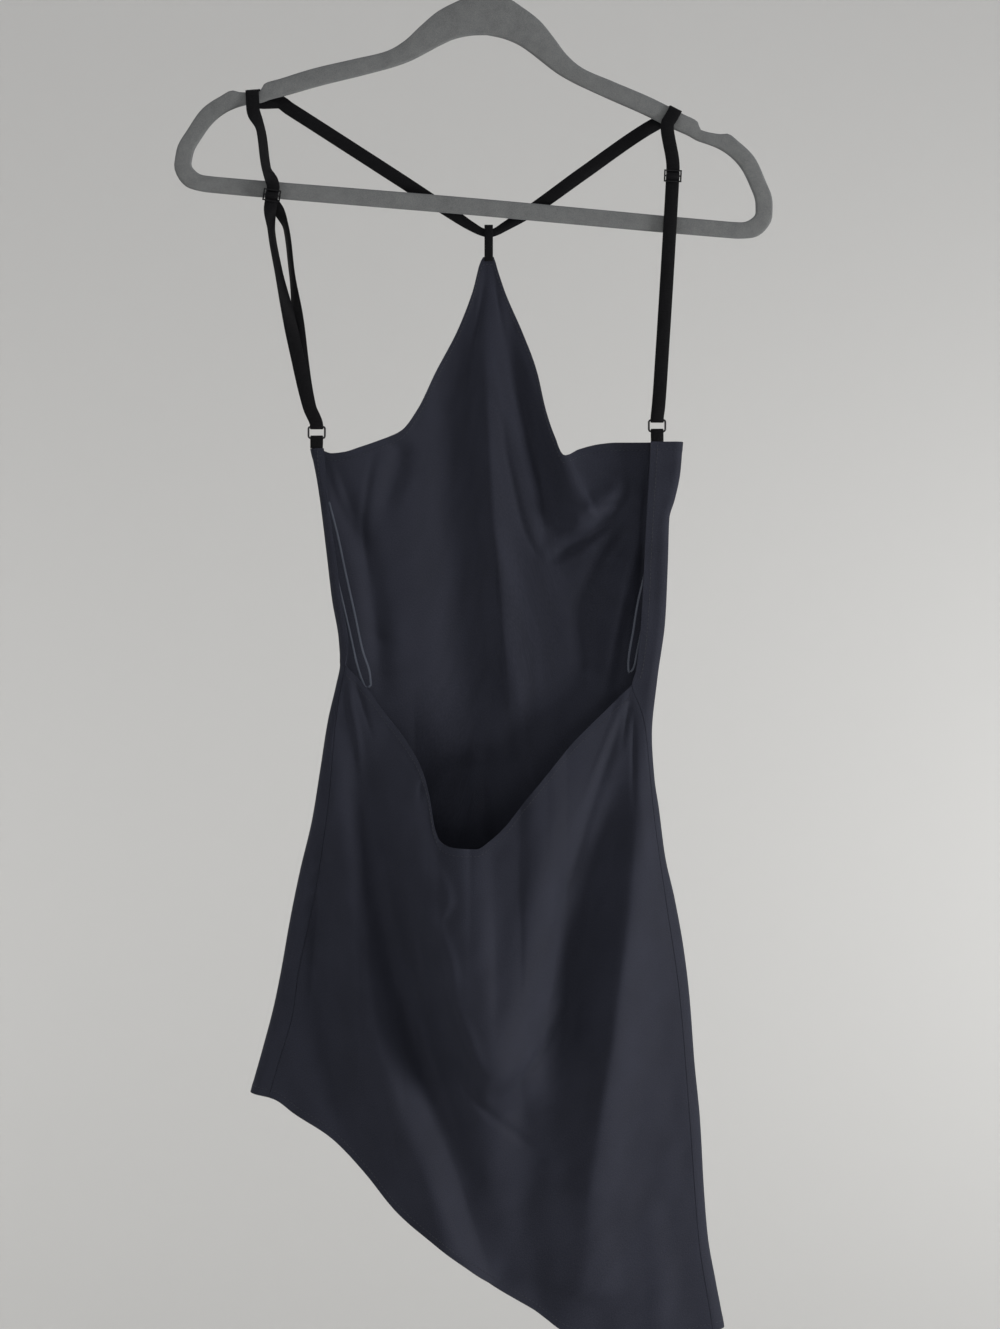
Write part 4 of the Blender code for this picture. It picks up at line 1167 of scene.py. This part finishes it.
    def build(self) -> None:
        """Makes both panels and their stitches."""
        cloth, thread = CLOTH_FINISH.material(), THREAD_FINISH.material()
        front, back = self.patches()
        front.fold_edges(*WAIST.values())
        back.fold_edges(0.0, 0.0)
        panel = shell("front_cloth", front, cloth)
        drape = shell("back_cloth", back, cloth)
        strips = front.mapped(lambda a: a[:self.upper]).turned()
        for name, lines, held, node in (
                ("front_stitches",
                 [front.line_in(HEM_STITCH),
                  front.flipped().line_in(HEM_STITCH),
                  strips.line_in(SIDE_STITCH),
                  strips.flipped().line_in(SIDE_STITCH)],
                 panel, "front_panel"),
                ("back_stitches",
                 [back.line_in(HEM_STITCH),
                  back.flipped().line_in(HEM_STITCH)],
                 drape, "back_panel")):
            stitched = stitches(name, lines, CLOTH + HEM_EXTRA, thread)
            for thing in (held, stitched):
                hand_over(thing, node)
            log.info("%s: %.4f m2", held.name, panel_area(held))


def panel_area(thing: bpy.types.Object) -> float:
    """Area of one side of a thin closed panel, in square metres."""
    return sum(face.area for face in thing.data.polygons) / 2


def stitches(name: str, lines: Sequence[tuple[np.ndarray, np.ndarray]],
             wall: float, finish: bpy.types.Material,
             pitch: float = 3.1) -> bpy.types.Object:
    """Rows of machine stitches on both faces of a panel.

    Args:
        name: the object's name.
        lines: places and normals along each row.
        wall: thickness of the cloth there.
        finish: the thread's material.
        pitch: distance from one stitch to the next.

    Returns:
        One object with every stitch.
    """
    points: list[np.ndarray] = []
    faces: list[tuple[int, ...]] = []
    for place, normal in lines:
        run = run_length(place)

        def at(where: float, table: np.ndarray) -> np.ndarray:
            return np.array([np.interp(where, run, c) for c in table.T])

        for start in np.arange(2.0, run[-1] - 3.0, pitch):
            ends = [at(s, place) for s in (start, start + STITCH)]
            up = at(start, normal)
            along = ends[1] - ends[0]
            size = np.linalg.norm(along)
            if size < 1.2:
                continue
            along, up = along / size, up / np.linalg.norm(up)
            side = np.cross(along, up)
            for face in (1, -1):
                lift = up * face * (wall / 2 + 0.02)
                first = len(points)
                points.append(ends[0] + lift)
                for t in (0.25, 0.75):
                    mid = ends[0] + along * size * t + lift
                    points += [mid + THREAD * (math.cos(a) * side
                                               + math.sin(a) * up)
                               for a in (0, 1.571, 3.142, 4.712)]
                points.append(ends[1] + lift)
                for k in range(4):
                    m = (k + 1) % 4
                    faces.append((first, first + 1 + m, first + 1 + k))
                    faces.append((first + 1 + k, first + 1 + m,
                                  first + 5 + m, first + 5 + k))
                    faces.append((first + 5 + k, first + 5 + m, first + 9))
    return mesh_object(name, np.array(points), faces, finish)


class Straps:
    """The one strap, its sliders, rings and tabs, and the small loops."""

    def over_arm(self, at: tuple[float, float], lean: float, shift: float,
                 back_lay: float) -> list[Step]:
        """Steps over an arm of the hanger, front to back."""
        lay = lean - math.degrees(TILT)
        x, z = from_hanger(*at)
        a, steps = math.radians(lay), []
        for i, (y, rise) in enumerate(OVER):
            t = i / (len(OVER) - 1)
            back = max(0.0, (t - 0.5) * 2)
            steps.append(Step(
                x - rise * math.sin(a) + shift * back**3, y,
                z + rise * math.cos(a),
                lay * (0.35 + 0.65 * min(1, t * 3))
                + (back_lay - lay) * back**6, 0, BAND))
        return steps

    def through_slider(self, side: Side, rows: Sequence[tuple[float, float]],
                       lay: float, width: float) -> list[Step]:
        """Steps through a slider, down the strap."""
        at = SLIDERS[side]
        run = np.array(SLIDER_RUN[side])
        run /= np.linalg.norm(run)
        return [Step(at[0] + u * run[0], y, at[1] + u * run[1], lay, 0, width)
                for u, y in rows]

    def ring_turn(self, side: Side, lay: float) -> list[Step]:
        """The turn under a ring's upper bar, front to back."""
        x, y, z = RINGS[side]
        top = z + RING_HALF[1]
        return [Step(x, y - TURN * math.cos(a), top - TURN * math.sin(a),
                     lay, 0, TURN_BAND)
                for a in np.linspace(0, math.pi, 7)]

    def whole_path(self) -> list[Step]:
        """The strap from one sewn end to the other."""
        right, left = Side.RIGHT, Side.LEFT
        steps = self.through_slider(right, TAIL, 0, BAND)
        steps += [Step(*p, 0, 0, BAND) for p in RIGHT_DOWN]
        steps += self.ring_turn(right, 0)[::-1]
        steps += [Step(*p, 0, 0, BAND) for p in RIGHT_UP]
        steps += self.through_slider(right, WEAVE, 0, BAND)[::-1]
        steps += self.over_arm((145.6, 72.6), lean=-22.2, shift=-6.0,
                               back_lay=-50)
        steps += DIAGONALS
        steps += [s._replace(lay=s.lay - 180) for s in self.over_arm(
            (-171.4, 58.8), lean=8.5, shift=5.0, back_lay=57)[::-1]]
        steps += LEFT_TOP + self.through_slider(left, WEAVE, -180, 9.6)
        steps += LEFT_DOWN + self.ring_turn(left, -180) + LEFT_UP
        steps += self.through_slider(left, TAIL[:3], -180, 9)[::-1]
        return steps

    def slider(self, side: Side,
               finish: bpy.types.Material) -> bpy.types.Object:
        """A rounded plate with two slots, made of five bars."""
        at, lean = SLIDERS[side], math.radians(LEANS[side])
        points: list[tuple[float, float, float]] = []
        faces: list[tuple[int, ...]] = []

        def bar(x0: float, x1: float, z0: float, z1: float,
                deep: float) -> None:
            first, cut = len(points), 0.22
            for y, inset in ((-deep, cut), (-deep + cut, 0), (deep - cut, 0),
                             (deep, cut)):
                for x, z in ((x0 + inset, z0 + inset), (x1 - inset,
                             z0 + inset), (x1 - inset, z1 - inset),
                             (x0 + inset, z1 - inset)):
                    points.append((
                        at[0] + x * math.cos(lean) - z * math.sin(lean),
                        SLIDER_Y + y,
                        at[1] + x * math.sin(lean) + z * math.cos(lean)))
            faces.extend(ring_faces(4, 4, first=first))
            faces.append(tuple(first + k for k in (3, 2, 1, 0)))
            faces.append(tuple(first + 12 + k for k in range(4)))

        inner, outer, high = SLIDER_HALF
        for ends in ((-outer, -inner), (inner, outer)):
            bar(*ends, -high, high, SLIDER_DEEP[0])
        for low in (3.5, -0.5, -high):
            bar(-5.6, 5.6, low, low + 1.0, SLIDER_DEEP[1])
        return mesh_object(f"slider_{side.value}_body", np.array(points),
                           faces, finish, sharp=30.0)

    def build(self) -> None:
        """Makes every piece and gives it to its CAD node."""
        satin, metal = SATIN_FINISH.material(), SLIDER_FINISH.material()
        ring_metal, clear = RING_FINISH.material(), CLEAR_FINISH.material()
        hand_over(ribbon("strap_band", self.whole_path(), satin), "strap")
        loop = [Step(HALTER_X, y, z, 0, 0, HALTER_BAND)
                for y, z in HALTER_LOOP]
        hand_over(ribbon("halter_band", loop, satin, spacing=1.2),
                  "halter_loop")
        top = curve_of(FRONT_TOP)
        for side, edge_x in TOP_X.items():
            self.trim(side, float(top(edge_x)) + TAB_LIFT, satin, ring_metal,
                      metal)
        for word, path in (("left", HANG_LEFT), ("right", HANG_RIGHT)):
            steps = [Step(*p, 0, 0, HANG_BAND) for p in path]
            hand_over(ribbon(f"hang_{word}_band", steps, clear, wall=0.5,
                             spacing=2.0), f"hang_loop_{word}")

    def trim(self, side: Side, foot: float, satin: bpy.types.Material,
             ring_metal: bpy.types.Material,
             metal: bpy.types.Material) -> None:
        """Makes one side's tab, ring and slider.

        Args:
            side: which side.
            foot: height where the tab is sewn to the bodice.
            satin: the tab's material.
            ring_metal: the ring's.
            metal: the slider's.
        """
        (x, y, z), (wide, tall) = RINGS[side], RING_HALF
        word, low, corner = side.value, z - tall, 1.6
        steps = [Step(x, TAB_FRONT, foot, 0, 0, TAB_BAND)]
        steps += [Step(x, y - TURN * math.cos(a), low + TURN * math.sin(a),
                       0, 0, TAB_BAND) for a in np.linspace(0, math.pi, 7)]
        steps.append(Step(x, TAB_BACK, foot, 0, 0, TAB_BAND))
        hand_over(ribbon(f"tab_{word}_band", steps, satin, spacing=1.5),
                  f"tab_{word}")
        path = [(x + sx * (wide - corner) + corner * math.cos(a), y,
                 z + sz * (tall - corner) + corner * math.sin(a))
                for sx, sz, start in ((1, 1, 0), (-1, 1, 90), (-1, -1, 180),
                                      (1, -1, 270))
                for a in np.radians(start + np.linspace(0, 90, 7))]
        hand_over(wire(f"ring_{word}_wire", np.array(path), RING_WIRE, 12,
                       ring_metal, closed=True), f"ring_{word}")
        hand_over(self.slider(side, metal), f"slider_{word}")


@dataclass
class Hanger:
    """The slim flocked hanger and its wire hook."""

    half_depth: float = 2.5
    rounding: float = 1.7

    def sections(self) -> list[list[tuple[float, float, float]]]:
        """Crossings round the whole hanger, rounded at their edges."""
        half = [tuple(s) for s in HANGER]
        whole = half + [(-a, b, -c, d) for a, b, c, d in half[-2::-1]]
        result = []
        for out_x, out_z, in_x, in_z in through(whole, 4.0, place=2)[:-1]:
            outer = np.array(from_hanger(out_x, out_z))
            inner = np.array(from_hanger(in_x, in_z))
            way = (inner - outer) / np.linalg.norm(inner - outer)
            section = []
            for corner, base, sign in ((0, outer, 1), (1, inner, 1),
                                       (2, inner, -1), (3, outer, -1)):
                inward = way if base is outer else -way
                for k in range(4):
                    t = math.radians(30 * k)
                    t = t if corner in (0, 2) else math.pi / 2 - t
                    place = base + inward * self.rounding * (1 - math.cos(t))
                    y = sign * (self.half_depth
                                - self.rounding * (1 - math.sin(t)))
                    section.append((place[0], y, place[1]))
            result.append(section)
        return result

    def build(self) -> None:
        """Makes the hanger and the hook."""
        body = tube("hanger_body", self.sections(), FLOCK_FINISH.material(),
                    closed=True, sharp=80.0)
        (across, high), ring = HOOK_CENTRE, HOOK_INSIDE + HOOK_WIRE
        path = list(HOOK_STEM)
        path += [(across + ring * math.cos(math.radians(a)),
                  high + ring * math.sin(math.radians(a)))
                 for a in range(-48, 196, 16)]
        placed = [(x, 0.0, z) for x, z in (
            from_hanger(*row) for row in through(path, 2.0, place=2))]
        hook = wire("hook_wire", np.array(placed), HOOK_WIRE, 16,
                    STEEL_FINISH.material(), closed=False, round_end=True)
        hand_over(body, "hanger")
        hand_over(hook, "hanger_hook")


@dataclass(frozen=True)
class Lamp:
    """A soft area light."""

    name: str
    place: tuple[float, float, float]
    target: tuple[float, float, float]
    size: float
    power: float
    colour: tuple[float, float, float] = (1.0, 1.0, 1.0)

    def build(self) -> None:
        """Adds the light, aimed at its target."""
        light = bpy.data.lights.new(self.name, "AREA")
        light.shape = "DISK"
        light.size, light.energy, light.color = (self.size, self.power,
                                                 self.colour)
        thing = bpy.data.objects.new(self.name, light)
        thing.location = self.place
        aim = Vector(self.target) - Vector(self.place)
        thing.rotation_euler = aim.to_track_quat("-Z", "Y").to_euler()
        bpy.context.scene.collection.objects.link(thing)


@dataclass
class Studio:
    """A plain pale room, its light and the camera."""

    radius: float = 4.2
    floor: float = -2.9
    height: float = 4.55
    fillet: float = 0.6
    pixel: float = 0.00075
    width: int = 1000
    tall: int = 1329
    distance: float = 2.0
    sides: int = 96
    pixels_above: int = 115
    camera_x: float = -0.0015

    def room(self) -> None:
        """A round wall that runs into the floor."""
        profile = [(0.0, self.floor), (self.radius - self.fillet, self.floor)]
        profile += [(self.radius - self.fillet * (1 - math.sin(a)),
                     self.floor + self.fillet * (1 - math.cos(a)))
                    for a in np.linspace(0, math.pi / 2, 9)[1:]]
        profile.append((self.radius, self.floor + self.height))
        turns = [2 * math.pi * k / self.sides for k in range(self.sides)]
        points = [(r * math.cos(a), r * math.sin(a), z)
                  for r, z in profile for a in turns]
        faces = [(a, d, c, b)
                 for a, b, c, d in ring_faces(len(profile), self.sides)]
        room = mesh_object("room", np.array(points) / MM, faces,
                           WALL_FINISH.material())

    def lights(self) -> None:
        """A key from the viewer's right, fills, and the wall's light."""
        for lamp in (
                Lamp("key", (2.4, -0.9, -1.05), (0, 0, -0.8), 0.8, 60.0,
                     (1.0, 0.99, 0.98)),
                Lamp("front_low", (0.3, -2.2, -1.4), (0.0, 0.0, -0.9), 0.8,
                     5.0),
                Lamp("fill", (-1.9, -1.3, -1.2), (0.0, 0.0, -0.9), 0.9, 8.0),
                Lamp("behind", (-0.8, 1.5, 0.95), (0.0, 0.0, -0.6), 0.9,
                     26.0),
                Lamp("wall_left", (-1.6, 2.2, -1.2), (-1.6, 4.2, -1.2), 1.2,
                     9.0),
                Lamp("wall_right", (1.5, 2.0, -1.0), (1.5, 4.2, -1.0), 1.2,
                     27.0)):
            lamp.build()
        world = bpy.data.worlds.new("air")
        world.use_nodes = True
        sky = world.node_tree.nodes["Background"]
        sky.inputs["Color"].default_value = (0.98, 0.98, 1.0, 1.0)
        sky.inputs["Strength"].default_value = 0.74
        bpy.context.scene.world = world

    def camera(self) -> None:
        """The photo's view: level, square on, a little below the bar."""
        data = bpy.data.cameras.new("camera")
        data.sensor_width = 36.0
        high = self.tall * self.pixel
        data.lens = data.sensor_width / 2 / (high / 2 / self.distance)
        thing = bpy.data.objects.new("camera", data)
        thing.location = (self.camera_x, -self.distance,
                          -(self.tall / 2 + self.pixels_above) * self.pixel)
        thing.rotation_euler = (math.pi / 2, 0.0, 0.0)
        bpy.context.scene.collection.objects.link(thing)
        scene = bpy.context.scene
        scene.camera = thing
        scene.render.resolution_x, scene.render.resolution_y = (self.width,
                                                                self.tall)

    def build(self) -> None:
        """Makes the room, the lights and the camera."""
        self.room()
        self.lights()
        self.camera()
        scene = bpy.context.scene
        scene.view_settings.view_transform = "Standard"
        scene.view_settings.look = "None"
        scene.view_settings.exposure = 0.0


def clear_scene() -> None:
    """Removes what an empty file starts with."""
    for thing in list(bpy.data.objects):
        bpy.data.objects.remove(thing, do_unlink=True)


def main() -> None:
    """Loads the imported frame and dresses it."""
    logging.basicConfig(level=logging.INFO)
    clear_scene()
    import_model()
    Dress().build()
    Straps().build()
    Hanger().build()
    Studio().build()


if __name__ == "__main__":
    main()
